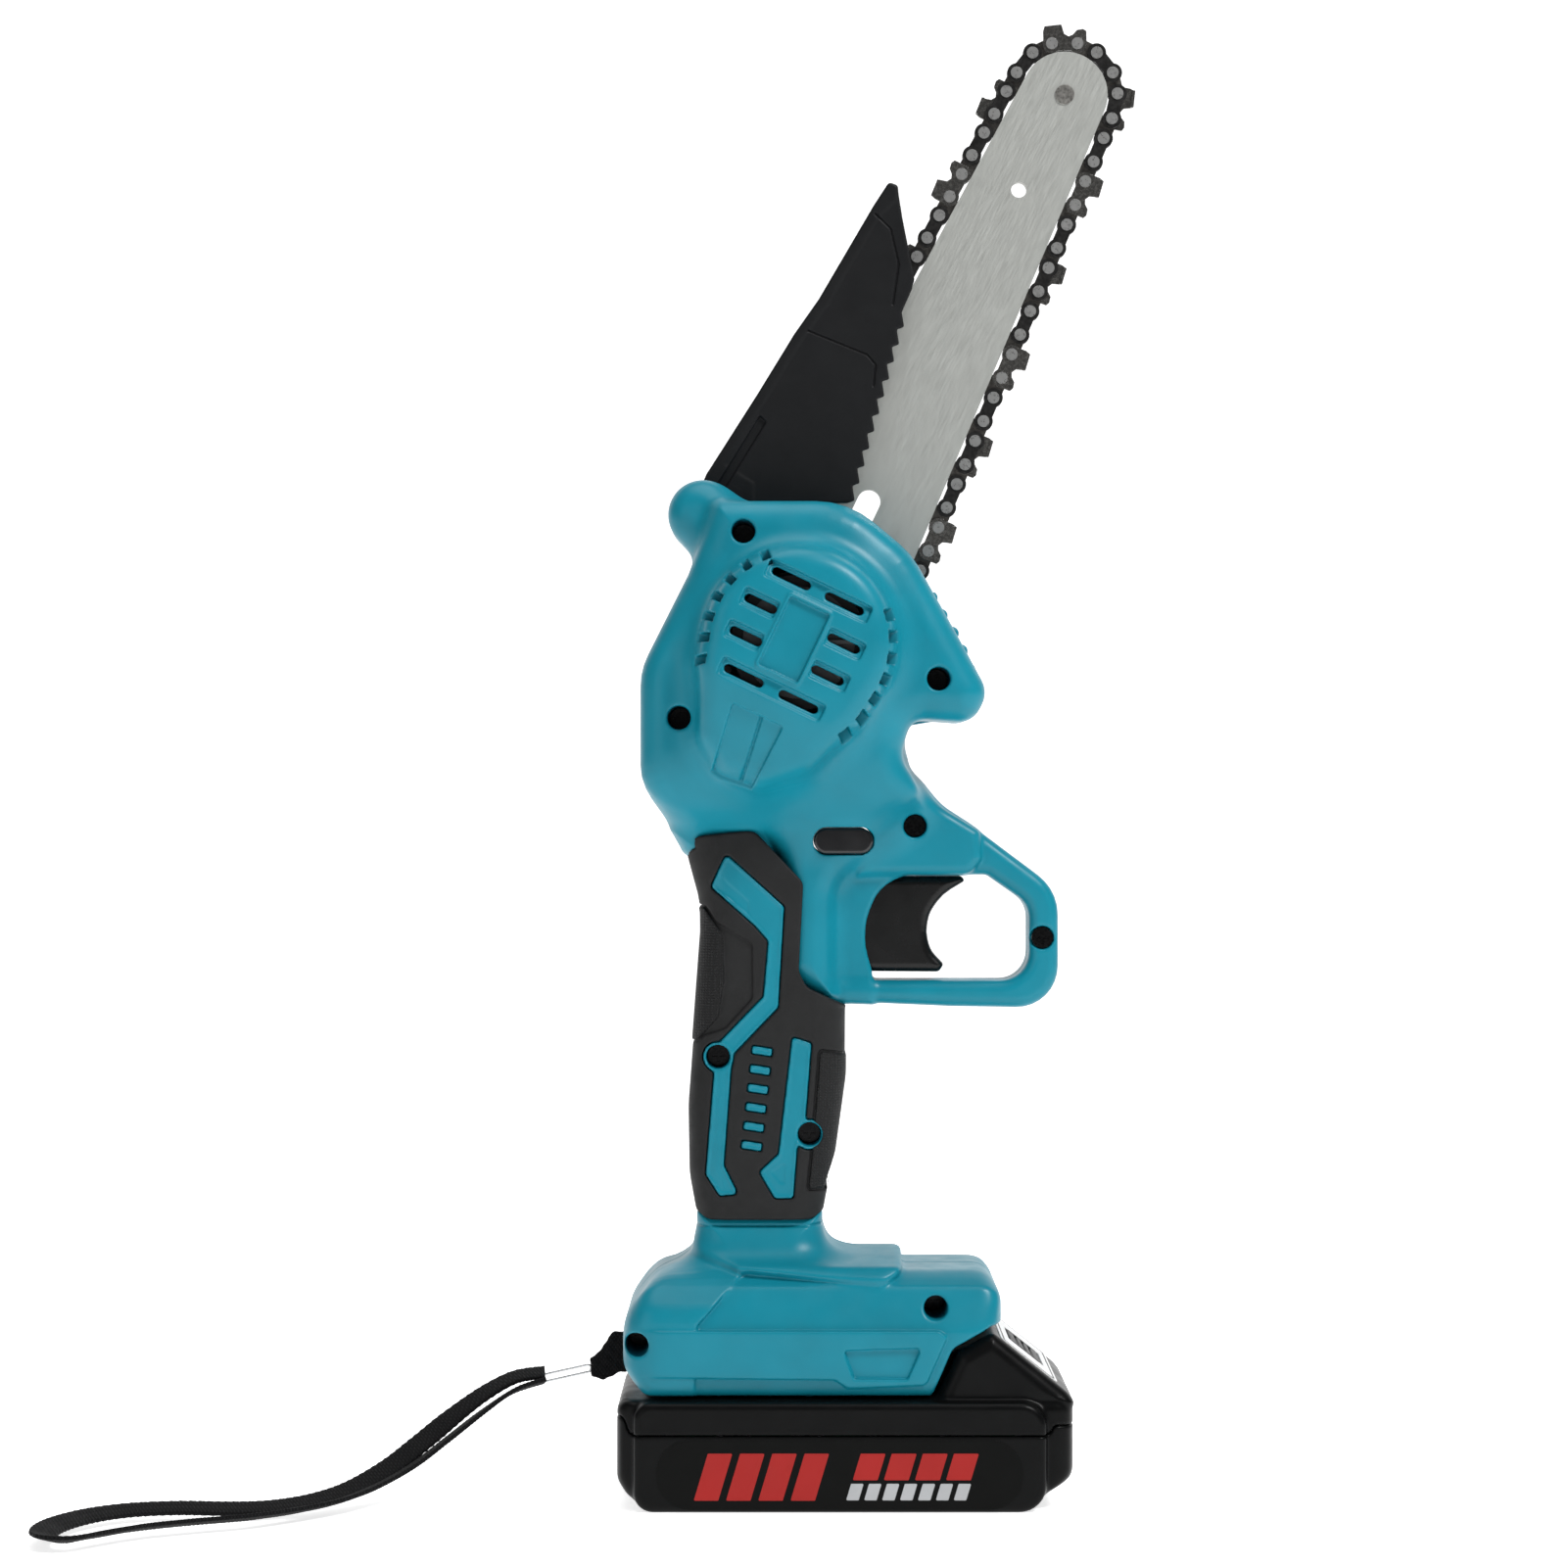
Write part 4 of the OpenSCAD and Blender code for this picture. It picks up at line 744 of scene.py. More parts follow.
HEAD = [(-42, 172, 0), (5, 172, 0), (22, 184, 6), (14.5, 196, 7), (17.6, 206.2, 5), (33.5, 205.0, 6),
        (37.8, 213.0, 7), (28.5, 230, 30), (17.5, 249.5, 22), (1, 263.3, 24), (-34, 263.3, 3),
        (-41, 244, 12), (-53.6, 219, 18), (-53.6, 189, 16)]
HEAD_ROOM = [(-39, 175, 0), (4, 175, 0), (18, 184.5, 4), (11.8, 196, 5), (16, 206.5, 3), (31.5, 208, 2),
             (33.6, 213.5, 2), (26, 229, 20), (14, 248, 9), (-2, 260.3, 9), (-31.5, 260.3, 2),
             (-38.5, 243, 12), (-51, 218, 8), (-51, 190, 8)]
HEAD_FLOOR = [(-70, 150, 0), (70, 150, 0), (70, 190, 0), (14, 196, 2), (-30, 186, 2), (-70, 184, 0)]
SNOUT = [(-39, 200, 8), (-33, 191.5, 6), (-22, 187, 7), (-9, 191, 9), (8, 207, 14), (0, 232, 0),
         (-30, 236, 0), (-39, 222, 8)]
CHEEK = [(-16, 138.4, 0), (-9.8, 135.0, 3), (-1.5, 130.7, 2), (-3, 137, 10), (-3, 163, 10), (7, 171, 8),
         (10, 179, 8), (14, 195, 0), (-16, 195, 0)]
MOUTH = [(-14, 131.6, 0), (7.5, 131.0, 0), (7.5, 139.4, 3), (5.6, 146, 15), (5.8, 153, 15), (9, 160.5, 10),
         (15, 164.9, 2), (20, 188, 4), (-14, 190, 0)]
ABOVE_TRIGGER = [(4, 165, 0), (33.5, 165, 4), (36.6, 169, 2), (36, 176.5, 2), (22, 185, 6), (4, 192, 0)]
GUARD = [(-1.6, 131.2, 2), (28, 129.9, 60), (57, 129.4, 11), (57, 160.8, 13), (33, 178.8, 10), (19, 188, 4),
         (-1.6, 188, 0)]
FINGERS = [(-8, 136.8, 0), (49.2, 136.8, 7.5), (49.2, 157, 7), (38, 164.9, 3), (-8, 164.9, 0)]
GRIP = [(-39, 74, 0), (-5.7, 74, 0), (-2.5, 91, 20), (0.4, 112, 20), (0.5, 130.4, 0), (-9.9, 135.3, 4),
        (-12, 139.5, 4), (-10.8, 163, 3), (-24, 177, 4), (-48, 174.2, 0), (-44, 155, 0), (-41.8, 104, 0),
        (-41.6, 86, 20)]
GRIP_LONG = [(-39, 50, 0), (-5.7, 50, 0), (-5.7, 74, 0), (-2.5, 91, 20), (0.4, 112, 20), (0.5, 129.5, 0),
             (18, 134, 0), (18, 200, 0), (-52, 200, 0), (-43.2, 176, 20), (-37.5, 155, 30),
             (-41.3, 104, 40), (-41, 86, 20), (-39, 74, 0)]
NECK = [(-42.5, 56, 0), (-1, 56, 0), (-5.7, 66, 10), (-5.7, 76, 0), (-39, 76, 0), (-39, 66, 10)]
FOOT = [(-52, 29.3, 4), (42.3, 29.3, 0), (42.3, 55, 6), (36, 61.8, 6), (-48, 61.8, 12), (-59.2, 48, 12),
        (-59.2, 36.5, 6)]
FOOT_BASE = [(-70, 29.3, 0), (22.5, 29.3, 1), (28, 42, 4), (38, 47.5, 3), (50, 49.5, 0), (50, 90, 0),
             (-70, 90, 0)]
FOOT_PANEL = [(-60, 34.8, 0), (-37, 34.5, 2), (-2.7, 34.1, 1), (0.7, 31.8, 1), (21, 32.7, 2), (26.6, 45.2, 1),
              (24.5, 46.8, 1), (-60, 46.8, 0)]
FOOT_END = [(-64, 20, 0), (-39.5, 20, 0), (-38.5, 48, 1), (-27, 60.5, 2), (-27, 70, 0), (-64, 70, 0)]
SADDLE = [(-28, 61.4, 2), (-10, 59.6, 60), (9.5, 57.9, 6), (15.4, 61.0, 4), (15.8, 66.4, 3), (-36, 66.4, 0)]
TRAPEZOID = [(2.3, 34.4, 0.8), (16.2, 34.2, 0.8), (19.8, 42.4, 0.8), (-0.4, 41.8, 0.8)]
GRIP_ROOM = [(-29, 56, 0), (-15, 56, 0), (-15, 137, 0), (-24, 164, 0), (-28, 182, 0), (-26, 200, 0),
             (-38, 200, 0), (-38, 183, 0), (-33.5, 165, 0), (-32.5, 150, 0), (-29, 128, 0)]
FOOT_ROOM = [(-48.2, 43.4, 1), (26, 43.4, 1), (34, 49.5, 2), (34, 55, 2), (30, 57, 2), (-46, 57, 4)]

# Teal bars that show flush through the soft sleeve
INLAYS = [
    [(-35.1, 161.9, 1), (-31.2, 170.5, 1), (-15.9, 156.7, 1), (-17.5, 130.1, 1), (-29.4, 117.7, 0),
     (-32.5, 121.3, 0), (-21.3, 132.9, 1), (-20, 147.6, 1), (-23.5, 151.6, 1)][::-1],
    [(-33.9, 118, 0), (-29.6, 118, 0), (-31.8, 88.5, 1), (-28, 80.8, 1), (-32.9, 80.4, 1),
     (-36.5, 86, 1)][::-1],
    [(-13.7, 122.3, 0.8), (-8.7, 120.7, 0.8), (-10.4, 99.2, 0), (-12.5, 92.9, 1), (-13.5, 79.8, 0.8),
     (-18.3, 79.7, 1), (-22.4, 86.7, 1), (-17.3, 91.4, 1)][::-1]]
INLAY_RING = 3.9
INLAY_PITS = [[(-19.3, 86.7, 0.6), (-15.9, 82.6, 0.6), (-15.4, 89.5, 0.6)],
              [(-34, 162.4, 0.4), (-24.9, 154.4, 0.4), (-25.2, 157.9, 0.6), (-32.4, 164.6, 0.4)]]
NECK_GROOVE_Z = 72.4
GAUGE_COUNT = 6
GAUGE_FIRST, GAUGE_STEP = (-24.6, 93.6), (0.55, 5.0)


def bar_axes(g, origin):
    """Distances across and up the bar from an axis."""
    dx, dz = g.x - np.float32(origin[0]), g.z - np.float32(origin[1])
    return dx * ACROSS_BAR[0] + dz * ACROSS_BAR[1], dx * UP_BAR[0] + dz * UP_BAR[1]


def inlay_face(g, rings):
    """Distance in X-Z to the teal bars, with rings round the two grip screws, and to the gauge strokes."""
    face = joined([g.side(path) for path in INLAYS])
    if rings:
        for screw in GRIP_SCREWS:
            face = join(face, g.disc(screw, INLAY_RING), 0.8)
    for k in range(GAUGE_COUNT):
        x, z = GAUGE_FIRST[0] + GAUGE_STEP[0] * k, GAUGE_FIRST[1] + GAUGE_STEP[1] * k
        stroke = [(-2.6, -0.6), (2.6, -1.4), (2.9, 0.6), (-2.3, 1.4)]
        face = join(face, g.side([(x + a, z + b, 0.3) for a, b in stroke]))
    return face


def grip_skin(g, out):
    """The soft grip's outside: round along its two long sides, square where it meets hard plastic."""
    return both(slab(g.side(GRIP_LONG), out, -GRIP_HALF, GRIP_HALF, 9), g.side(GRIP), 0.7)


def foot_shape(g, out):
    """The battery foot: a boat-shaped body, a fuller rear end, a raised front panel and a saddle on top."""
    side = g.side(FOOT)
    plan = block(g.x + 8.45, out, 50.75, FOOT_HALF, 13)
    section = outline(out, g.z, [(-45, 20, 0), (33.3, 20, 0), (33.3, 46.4, 1), (28.3, 57.5, 3),
                                 (19, 61.8, 10), (-45, 61.8, 0)])
    full = outline(out, g.z, [(-45, 20, 0), (FOOT_HALF, 20, 0), (FOOT_HALF, 51, 9), (24, 61.8, 14),
                              (-45, 61.8, 0)])
    body = both(side, plan, 5)
    base = both(body, section, 3)
    end = both(both(body, full, 3), g.side(FOOT_END), 1.0)
    panel = both(both(body, out - FOOT_HALF, 0.5), g.side(FOOT_PANEL), 0.5)
    rise = outline(out, g.z, [(-45, 30, 0), (29.4, 30, 0), (29.4, 59.3, 2.5), (25.5, 62.4, 5), (0, 66.4, 25),
                              (-45, 66.4, 0)])
    saddle = both(both(g.side(SADDLE), rise, 2.5), block(g.x + 14, out, 30, 29.4, 7), 1.5)
    foot = join(join(join(base, end, 0.8), panel, 0.2), saddle, 2.0)
    foot = cut(foot, slab(g.side(TRAPEZOID), out, FOOT_HALF - 1.4, FOOT_HALF + 5), 0.15)
    return both(foot, g.side(FOOT_BASE), 0.8)


def lower_shape(g, out, ceiling):
    """Everything below the head: cheek, trigger mouth, finger guard, grip core, neck and foot."""
    cheek = slab(g.side(CHEEK), out, -14, BLOCK_HALF, 6)
    mouth = slab(g.side(MOUTH), out, -14, 10.0, 1.2)
    above = slab(g.side(ABOVE_TRIGGER), out, -14, 13, 2.5)
    loop = slab(cut(g.side(GUARD), g.side(FINGERS)), out, -14, GUARD_HALF, 3.0)
    grip = join(join(cheek, mouth, 5), join(above, loop, 1.2), 2.5)
    if ceiling is not None:
        grip = both(grip, g.z - np.float32(ceiling), 1)
    core = both(g.side(GRIP), g.side(GRIP_LONG)) + 2.05
    grip = join(grip, slab(core, out, -14, GRIP_HALF - 2, 7.5))
    neck = slab(g.side(NECK), out, -GRIP_HALF, GRIP_HALF, 8.5)
    neck = cut(neck, both(np.abs(g.z - NECK_GROOVE_Z) - 0.4, -(neck + 0.5)), 0.2)
    foot = join(foot_shape(g, out), neck, 9)
    return join(grip, foot)


def drill(g, skin, screws):
    """The skin with a countersunk well and a shank hole for each screw."""
    out = -g.y
    for x, z, head in screws:
        flat = g.disc((x, z), 0)
        well = both(flat - WELL_R, head - out)
        skin = cut(skin, well, 0.7)
        skin = cut(skin, both(flat - SCREW_R, out - np.float32(head + 1)))
    return skin


def bosses(g, screws):
    """The posts that the screws hold to."""
    return joined([g.disc(screw, BOSS_R) for screw in screws])


def shared_rooms(g, out):
    """Spaces inside both halves: leads, switch, trigger, lock button, battery bay and strap slot."""
    foot = cut(g.side(FOOT_ROOM), bosses(g, FOOT_SCREWS))
    return joined([
        both(g.side(GRIP_ROOM), out - 9),
        both(block(g.x + 18.5, g.z - 151, 11.5, 14.6, 0.5), out - 9),
        both(block(g.x - 3.25, g.z - 150.85, 12.75, 14.05, 0.5), out - 8.3),
        slab(foot, out, -5, FOOT_HALF - 6.5, 3),
        both(block(out, g.z - 36.55, 27.5, 4.15, 0.4), -49.5 - g.x),
        both(block(out, g.z - 27, 24.5, 8, 0.3), -49.5 - g.x),
        both(block(g.x + 46.7, g.z - 42, 2.8, 2.2, 0.2), out - 8),
        stadium(g.x - LOCK[0], g.z - LOCK[1], 4.4, 3.65) + 0 * out,
        both(block(g.x + 58, g.z - 37, 4, 5.6, 0.3), out - 1.6)])


# ---- left housing ----
DOME_R = 26.3
SLOT_ROWS = [(13.9, (-8.8, 6.3), 4.3), (4.6, (-13.1, 10.6), 3.4), (-4.6, (-12.9, 10.4), 3.4),
             (-14.0, (-9.0, 6.6), 4.4)]
SLOT_R = 1.15
LOUVRE_HALF = 2.35
SIDE_VENTS = [(111, 190, 7, 24.3, 1.15, 39.4), (-63.4, 16.9, 7, 23.6, 1.6, 38.9)]


def dome_shape(g, out):
    """The raised motor cover: round, with a snout that falls away towards the grip."""
    u, v = bar_axes(g, MOTOR)
    face = join(g.disc(MOTOR, DOME_R), g.side(SNOUT), 5)
    drafted = (face + np.maximum(out - 31, 0) * np.float32(0.16)).astype(np.float32)
    beyond = np.maximum(-15 - v, 0)
    top = DOME_REACH - 0.0016 * (u * u + v * v) - 0.34 * beyond * beyond / (beyond + 6)
    return both(drafted, ((out - top) * 0.96).astype(np.float32), 5)


def louvres(g, out, dome):
    """Stepped strips with the vent slots, the plaque between them and the ribbed panel on the snout."""
    u, v = bar_axes(g, MOTOR)
    depth = -dome
    strips = joined([block(u + 1.1, v - row, 14.6 if abs(row) > 10 else 17.2, LOUVRE_HALF, 0.8)
                     for row, _, _ in SLOT_ROWS])
    slots = joined([stadium(u - place_u, v - row, half, SLOT_R)
                    for row, places, half in SLOT_ROWS for place_u in places])
    plaque = block(u + 1.4, v, 6.0, 10.2, 0.9)
    border = np.abs(plaque) - 0.4
    strips = cut(strips, plaque - 1.3, 0.4)
    tilt = 1.05 + 0.16 * (v - np.round((v - 4.6) / 9.3) * 9.3 - 4.6)
    dome = cut(dome, both(strips, depth - tilt.astype(np.float32)), 0.2)
    dome = cut(dome, both(plaque, depth - 0.8), 0.15)
    dome = join(dome, both(border, depth * -1 - 0.4), 0.15)
    panel = outline(u, v, [(-4.6, -48, 0), (5.0, -48, 0), (5.8, -21.3, 0.8), (-8.6, -21.4, 0.8)])
    panel = both(panel, 31.5 - out)
    dome = cut(dome, both(panel, depth - 0.9), 0.2)
    rib = np.abs(u - (-0.36 - (v + 21.2) * 0.14)) - 0.35
    dome = cut(dome, both(both(rib, panel), depth - 1.6), 0.15)
    return cut(dome, both(slots, 30 - out), 0.3)


def side_vents(g, skin, out):
    """Small square openings round the dome's shoulder."""
    dx, dz = g.x - np.float32(MOTOR[0]), g.z - np.float32(MOTOR[1])
    for first, last, count, radius, half, level in SIDE_VENTS:
        for k in range(count):
            angle = math.radians(first + (last - first) * k / (count - 1))
            along = dx * math.cos(angle) + dz * math.sin(angle)
            across = dz * math.cos(angle) - dx * math.sin(angle)
            vent = both(block(across, out - level, half, 4.3, 0.2), (radius - 3.0) - along)
            skin = cut(skin, vent, 0.25)
    return skin


def left_hard(g, out):
    """The left half's hard skin without its dome, and the slope under its head."""
    head = slab(g.side(HEAD), out, -14, HEAD_HALF, 7.5)
    chin = (out - 17.8 - 1.1 * (g.z - 177)) * np.float32(0.673)
    head = both(head, chin, 8)
    ear = slab(g.disc(EAR, 9.2), out, -9, 20, 7.5)
    head = join(head, ear, 7)
    return join(head, lower_shape(g, out, None), 9), chin


def left_field(g):
    out = -g.y
    skin, chin = left_hard(g, out)
    dome = dome_shape(g, out)
    skin = join(skin, dome, 7)
    skin = louvres(g, out, skin)
    skin = side_vents(g, skin, out)
    bars = both(inlay_face(g, True), both(grip_skin(g, out) + 0.15, g.z - 172))
    bars = both(bars, -out - 1)
    bars = cut(bars, both(inlay_face(g, True) + 0.7, -(bars + 0.3)), 0.15)
    for pit in INLAY_PITS:
        bars = cut(bars, both(g.side(pit), 17.9 - out), 0.15)
    skin = join(skin, bars)
    room = slab(g.side(HEAD_ROOM), out, -8, HEAD_HALF - WALL, 5)
    room = both(room, chin + 3.0)
    inner_dome = slab(g.disc(MOTOR, DOME_R - 4.5), out, 0, DOME_REACH - 4.2, 5)
    room = join(room, inner_dome, 3)
    room = cut(cut(room, bosses(g, HEAD_SCREWS)), g.side(HEAD_FLOOR))
    room = join(room, shared_rooms(g, out))
    skin = cut(skin, room)
    skin = cut(skin, both(g.disc(EAR, 2.55), out - 17.5))
    skin = drill(g, skin, SCREWS)
    return both(skin, g.y + SEAM)


def make_left_housing():
    grid = Grid((-61, -47.5, 28), (59, 1, 271.5), 0.5)
    mould("housing_shell_left", grid, left_field(grid), "teal_housing", "tool", "left_housing")


make_left_housing()


# ---- right housing ----
STUD = centre("cover_nut")[[0, 2]]
SCREW_TIP = corners("housing_screws")[1][1] + 0.3
PAD_MIDDLE, PAD_HALF, PAD_R = 45.5, 12.5, 9.0
PAD_TOP = corners("bar_plate_left")[0][1]


def right_field(g):
    out = g.y
    head = slab(g.side(HEAD), out, -14, BAR_SIDE, 1.0)
    skin = join(join(head, slab(g.disc(EAR, 9.2), out, -9, 4.6, 0.8)), lower_shape(g, out, 184), 1.5)
    across, up = bar_axes(g, SPINDLE)
    pad = both(stadium(up - PAD_MIDDLE, across, PAD_HALF, PAD_R), g.side(HEAD) + 0.5)
    skin = join(skin, slab(pad, out, 0, PAD_TOP, 0.4))
    bars = both(both(inlay_face(g, False), both(grip_skin(g, out) + 0.15, g.z - 172)), -out - 1)
    skin = join(skin, bars)
    room = both(g.side(HEAD_ROOM), out - (BAR_SIDE - WALL))
    keep = join(bosses(g, HEAD_SCREWS), g.disc(STUD, 6))
    keep = join(keep, both(g.disc(SPINDLE, 10.5), 3 - out))
    room = cut(cut(room, keep), g.side(HEAD_FLOOR))
    screw_holes = [both(g.disc((x, z), SCREW_R), out - SCREW_TIP) for x, z, _ in SCREWS]
    room = joined([
        room,
        shared_rooms(g, out),
        both(g.disc(SPINDLE, 8), slab(0 * g.x - 9, out, 2, 7.5)),
        both(g.disc(SPINDLE, 4.5), 2 - out),
        both(g.disc(STUD, 3), 1.5 - out),
        both(block(up - 45, across - 9.5, 6, 3.6, 0.3), 5.2 - out),
        both(np.hypot(across - 9.5, out - 7.2) - 2.15, np.abs(up - 52) - 12),
        *screw_holes,
        both(g.disc(EAR, 11.2), 4.6 - out),
        both(g.disc(EAR, 2.55), out - 6)])
    return both(cut(skin, room), SEAM - out)


def make_right_housing():
    grid = Grid((-61, -1, 28), (59, 36.5, 271.5), 0.55)
    mould("housing_shell_right", grid, right_field(grid), "teal_housing", "tool", "right_housing")


# ---- soft grip ----
FACET = [(-37.2, 154.8, 1), (-38.9, 122, 1), (-31.5, 124.5, 2), (-24.2, 132.5, 2), (-24.3, 147, 2)]
PADS = [[(-44, 157, 0), (-36.8, 156.7, 1), (-31.8, 149, 3), (-31.4, 137.2, 4), (-32.9, 127.5, 3),
         (-38.8, 121, 2), (-46, 121, 0)],
        [(-6.6, 118.9, 1), (4, 117.1, 0), (4, 109.5, 0), (-2.8, 88.8, 1), (-5.2, 81.9, 0.6),
         (-9.7, 81.9, 0.6), (-8.7, 91.6, 1)]]


def soft_field(g, out, hard, rings):
    """One sleeve: the grip's skin without everything hard that shows through it."""
    skin = grip_skin(g, out)
    depth = -skin
    shape = cut(skin, inlay_face(g, rings) - 0.28, 0.5)
    shape = cut(shape, both(g.side(FACET), depth - 0.7), 0.3)
    for pad in PADS:
        face = g.side(pad)
        shape = join(shape, both(face, skin - 0.35, 0.5))
        shape = cut(shape, both(np.abs(face) - 0.35, depth - 0.6), 0.15)
    shape = cut(shape, hard - 0.22, 0.3)
    shape = cut(shape, stadium(g.x - LOCK[0], g.z - LOCK[1], 4.4, 4.0))
    if rings:
        for screw in GRIP_SCREWS:
            shape = cut(shape, g.disc(screw, WELL_R + 0.4))
    return both(shape, 0.02 - out)


def texture_pads(piece, finish):
    """The pads' faces take a second finish."""
    mesh = piece.data
    mesh.materials.append(finish)
    middles = np.zeros(len(mesh.polygons) * 3)
    mesh.polygons.foreach_get("center", middles)
    middles = middles.reshape(-1, 3) / MM
    inside = np.minimum(*[outline(middles[:, 0], middles[:, 2], pad) for pad in PADS]) < -0.2
    mesh.polygons.foreach_set("material_index", inside.astype(np.int32))


def make_grip_sleeves():
    """Both sleeves. Only the left one has rings round the screws."""
    for side, sign in (("left", -1), ("right", 1)):
        y0, y1 = sorted((sign * -0.4, sign * 19.5))
        g = Grid((-45, y0, 73), (3, y1, 179), 0.4)
        out = sign * g.y
        left = side == "left"
        if left:
            hard = left_hard(g, out)[0]
        else:
            hard = join(slab(g.side(HEAD), out, -14, BAR_SIDE, 1.0), lower_shape(g, out, 184), 1.5)
        field = soft_field(g, out, hard, left)
        piece = moulded(f"grip_sleeve_{side}_rubber", g, field, FINISHES["soft_grip"])
        texture_pads(piece, FINISHES["grip_texture"])
        place(piece, "tool", "soft_grip", f"grip_sleeve_{side}")


# ---- sprocket cover ----
COVER_OUT = corners("sprocket_cover")[1][1]
COVER = [(-30, 185.5, 10), (-10, 185.5, 12), (9, 192, 6), (13, 204, 4), (31, 207, 3), (34, 213.5, 3),
         (27, 228, 8), (15, 249, 10), (2, 261.5, 8), (-26, 261.5, 10), (-40, 240, 10), (-49, 216, 8),
         (-48, 196, 10)]
COVER_NUBS = [(21.3, 245.2), (23.8, 239.3), (26.5, 234.5), (29.5, 229.7), (31.9, 224.9), (34.0, 219.9)]


def cover_field(g):
    out = g.y
    skin = slab(g.side(COVER), out, 0, COVER_OUT, 2.6)
    for nub in COVER_NUBS:
        skin = join(skin, slab(g.disc(nub, 1.9), out, 10.5, 21, 0.8), 0.8)
    across, up = bar_axes(g, SPINDLE)
    clamp = join(g.disc(STUD, 8), both(stadium(up - 48, across, 8, 7), 13.6 - out))
    room = both(g.side(COVER) + WALL, out - (COVER_OUT - WALL))
    mouth = both(outline(across, up, [(-27, 20, 0), (27, 20, 0), (25, 90, 0), (-25, 90, 0)]),
                 out - (COVER_OUT - WALL))
    room = cut(join(room, mouth), clamp)
    room = join(room, both(stadium(up - 48, across, 8, 9.1), out - 13.6))
    room = join(room, g.disc(STUD, 3.15) + 0 * out)
    room = join(room, both(g.disc(STUD, 6.3), (COVER_OUT - 6) - out), 0.2)
    room = join(room, g.disc(EAR, 11.2) + 0 * out)
    lines = both(np.abs(across - 2) - 11, np.abs((up - 22) - np.round((up - 22) / 4.5) * 4.5) - 0.9)
    lines = both(both(lines, np.abs(up - 21) - 14), (COVER_OUT - 1.0) - out)
    skin = cut(skin, lines.astype(np.float32), 0.4)
    return both(cut(skin, room), BAR_SIDE + SEAM - out)


def make_sprocket_cover():
    grid = Grid((-51, 8, 183), (36.5, 26, 264), 0.45)
    mould("sprocket_cover_shell", grid, cover_field(grid), "teal_housing", "tool", "sprocket_cover")


# ---- blade guard ----
BLADE_GUARD = [(1.2, 264.6), (-30, 264.6), (-37.6, 268), (-36.7, 272.2), (-22.8, 294), (-13, 310),
               (-6.4, 319.4), (8.3, 344.5), (12.4, 350.8), (14.6, 350), (16, 341.3), (19, 326),
               (18.6, 322.3)]
GUARD_TEETH = 11
TEETH_FROM, TEETH_TO = np.array([15.8, 316.0]), np.array([1.2, 264.6])
GUARD_SPINE = [(-24, 264.6, 0), (-30, 264.6, 0), (-37.6, 268, 0.5), (-36.7, 272.2, 0.5), (-22.8, 294, 1),
               (-13, 310, 1), (-6.4, 319.4, 1), (8.3, 344.5, 1), (12.4, 350.8, 0.8), (14.6, 350, 0.6),
               (14.3, 346, 0), (9.6, 341.6, 0), (-4.4, 317.8, 0), (-11, 308.6, 0), (-20.8, 292.6, 0),
               (-32, 275, 0), (-24, 270, 0)]
GUARD_SLIT = [(-34.5, 268.5, 0.3), (-33, 266.5, 0.3), (-20.6, 286.5, 0.3), (-22.4, 288.2, 0.3)]
GUARD_LINES = [[(-9.5, 311), (6.5, 304.5), (8.8, 301.8), (8.2, 296)],
               [(8.6, 342.5), (12.8, 338.5), (15, 329), (13.4, 318)]]
GUARD_THICK = 1.8


def guard_side_path():
    """The guard's side view with its saw-toothed edge."""
    path = [(x, z, 1.0) for x, z in BLADE_GUARD]
    path.append((*TEETH_FROM, 0))
    step = (TEETH_TO - TEETH_FROM) / GUARD_TEETH
    for k in range(GUARD_TEETH):
        base = TEETH_FROM + step * k
        tip = base + step * 0.75 + 1.7 * np.array([0.96, -0.28])
        path += [(*tip, 0.4), (*(base + step), 0)]
    return path[:-1]


def along_line(a, b, points):
    """Distance to an open line through points."""
    reaches = []
    for (a0, b0), (a1, b1) in zip(points[:-1], points[1:]):
        da, db = a1 - a0, b1 - b0
        t = np.clip(((a - a0) * da + (b - b0) * db) / (da * da + db * db), 0, 1)
        reaches.append(np.hypot(a - a0 - t * da, b - b0 - t * db))
    return joined(reaches).astype(np.float32)


def blade_guard_field(g):
    low, high = corners("blade_guard")[0][1], corners("blade_guard")[1][1]
    middle, half = (low + high) / 2, (high - low) / 2
    out = np.abs(g.y - np.float32(middle))
    side = g.side(guard_side_path())
    shape = slab(side, out, half - GUARD_THICK, half, 0.5)
    shape = join(shape, slab(g.side(GUARD_SPINE), out, -half, half, 0.6), 0.8)
    neck = g.side([(-44, 261, 0), (-31, 259, 0), (-27, 268, 0), (-36, 273, 0)])
    shape = join(shape, slab(join(g.disc(EAR, 7), neck), out, half - 3, half, 0.4), 0.5)
    grooves = joined([along_line(g.x, g.z, line) - 0.24 for line in GUARD_LINES])
    shape = cut(shape, both(grooves, (half - 0.5) - out), 0.1)
    shape = cut(shape, both(g.side(GUARD_SLIT), (half - 1.0) - out), 0.3)
    shape = cut(shape, g.disc(EAR, 2.6) + 0 * out)
    return cut(shape, both(g.disc(EAR, 7.4), out - (half - 3)))


def make_blade_guard():
    grid = grid_round("blade_guard", 0.35)
    mould("blade_guard_shell", grid, blade_guard_field(grid), "guard_black", "blade_guard", "blade_guard")


# ---- trigger and buttons ----
TRIGGER_PATH = [(-3, 139.2, 1), (25.4, 139.0, 1.4), (26.7, 141.0, 0.8), (23.1, 144.8, 7), (22.0, 149.6, 9),
                (22.8, 154.6, 9), (26.4, 159.6, 12), (32.4, 163.2, 0.8), (31.4, 164.4, 0.6), (-3, 164.4, 1)]


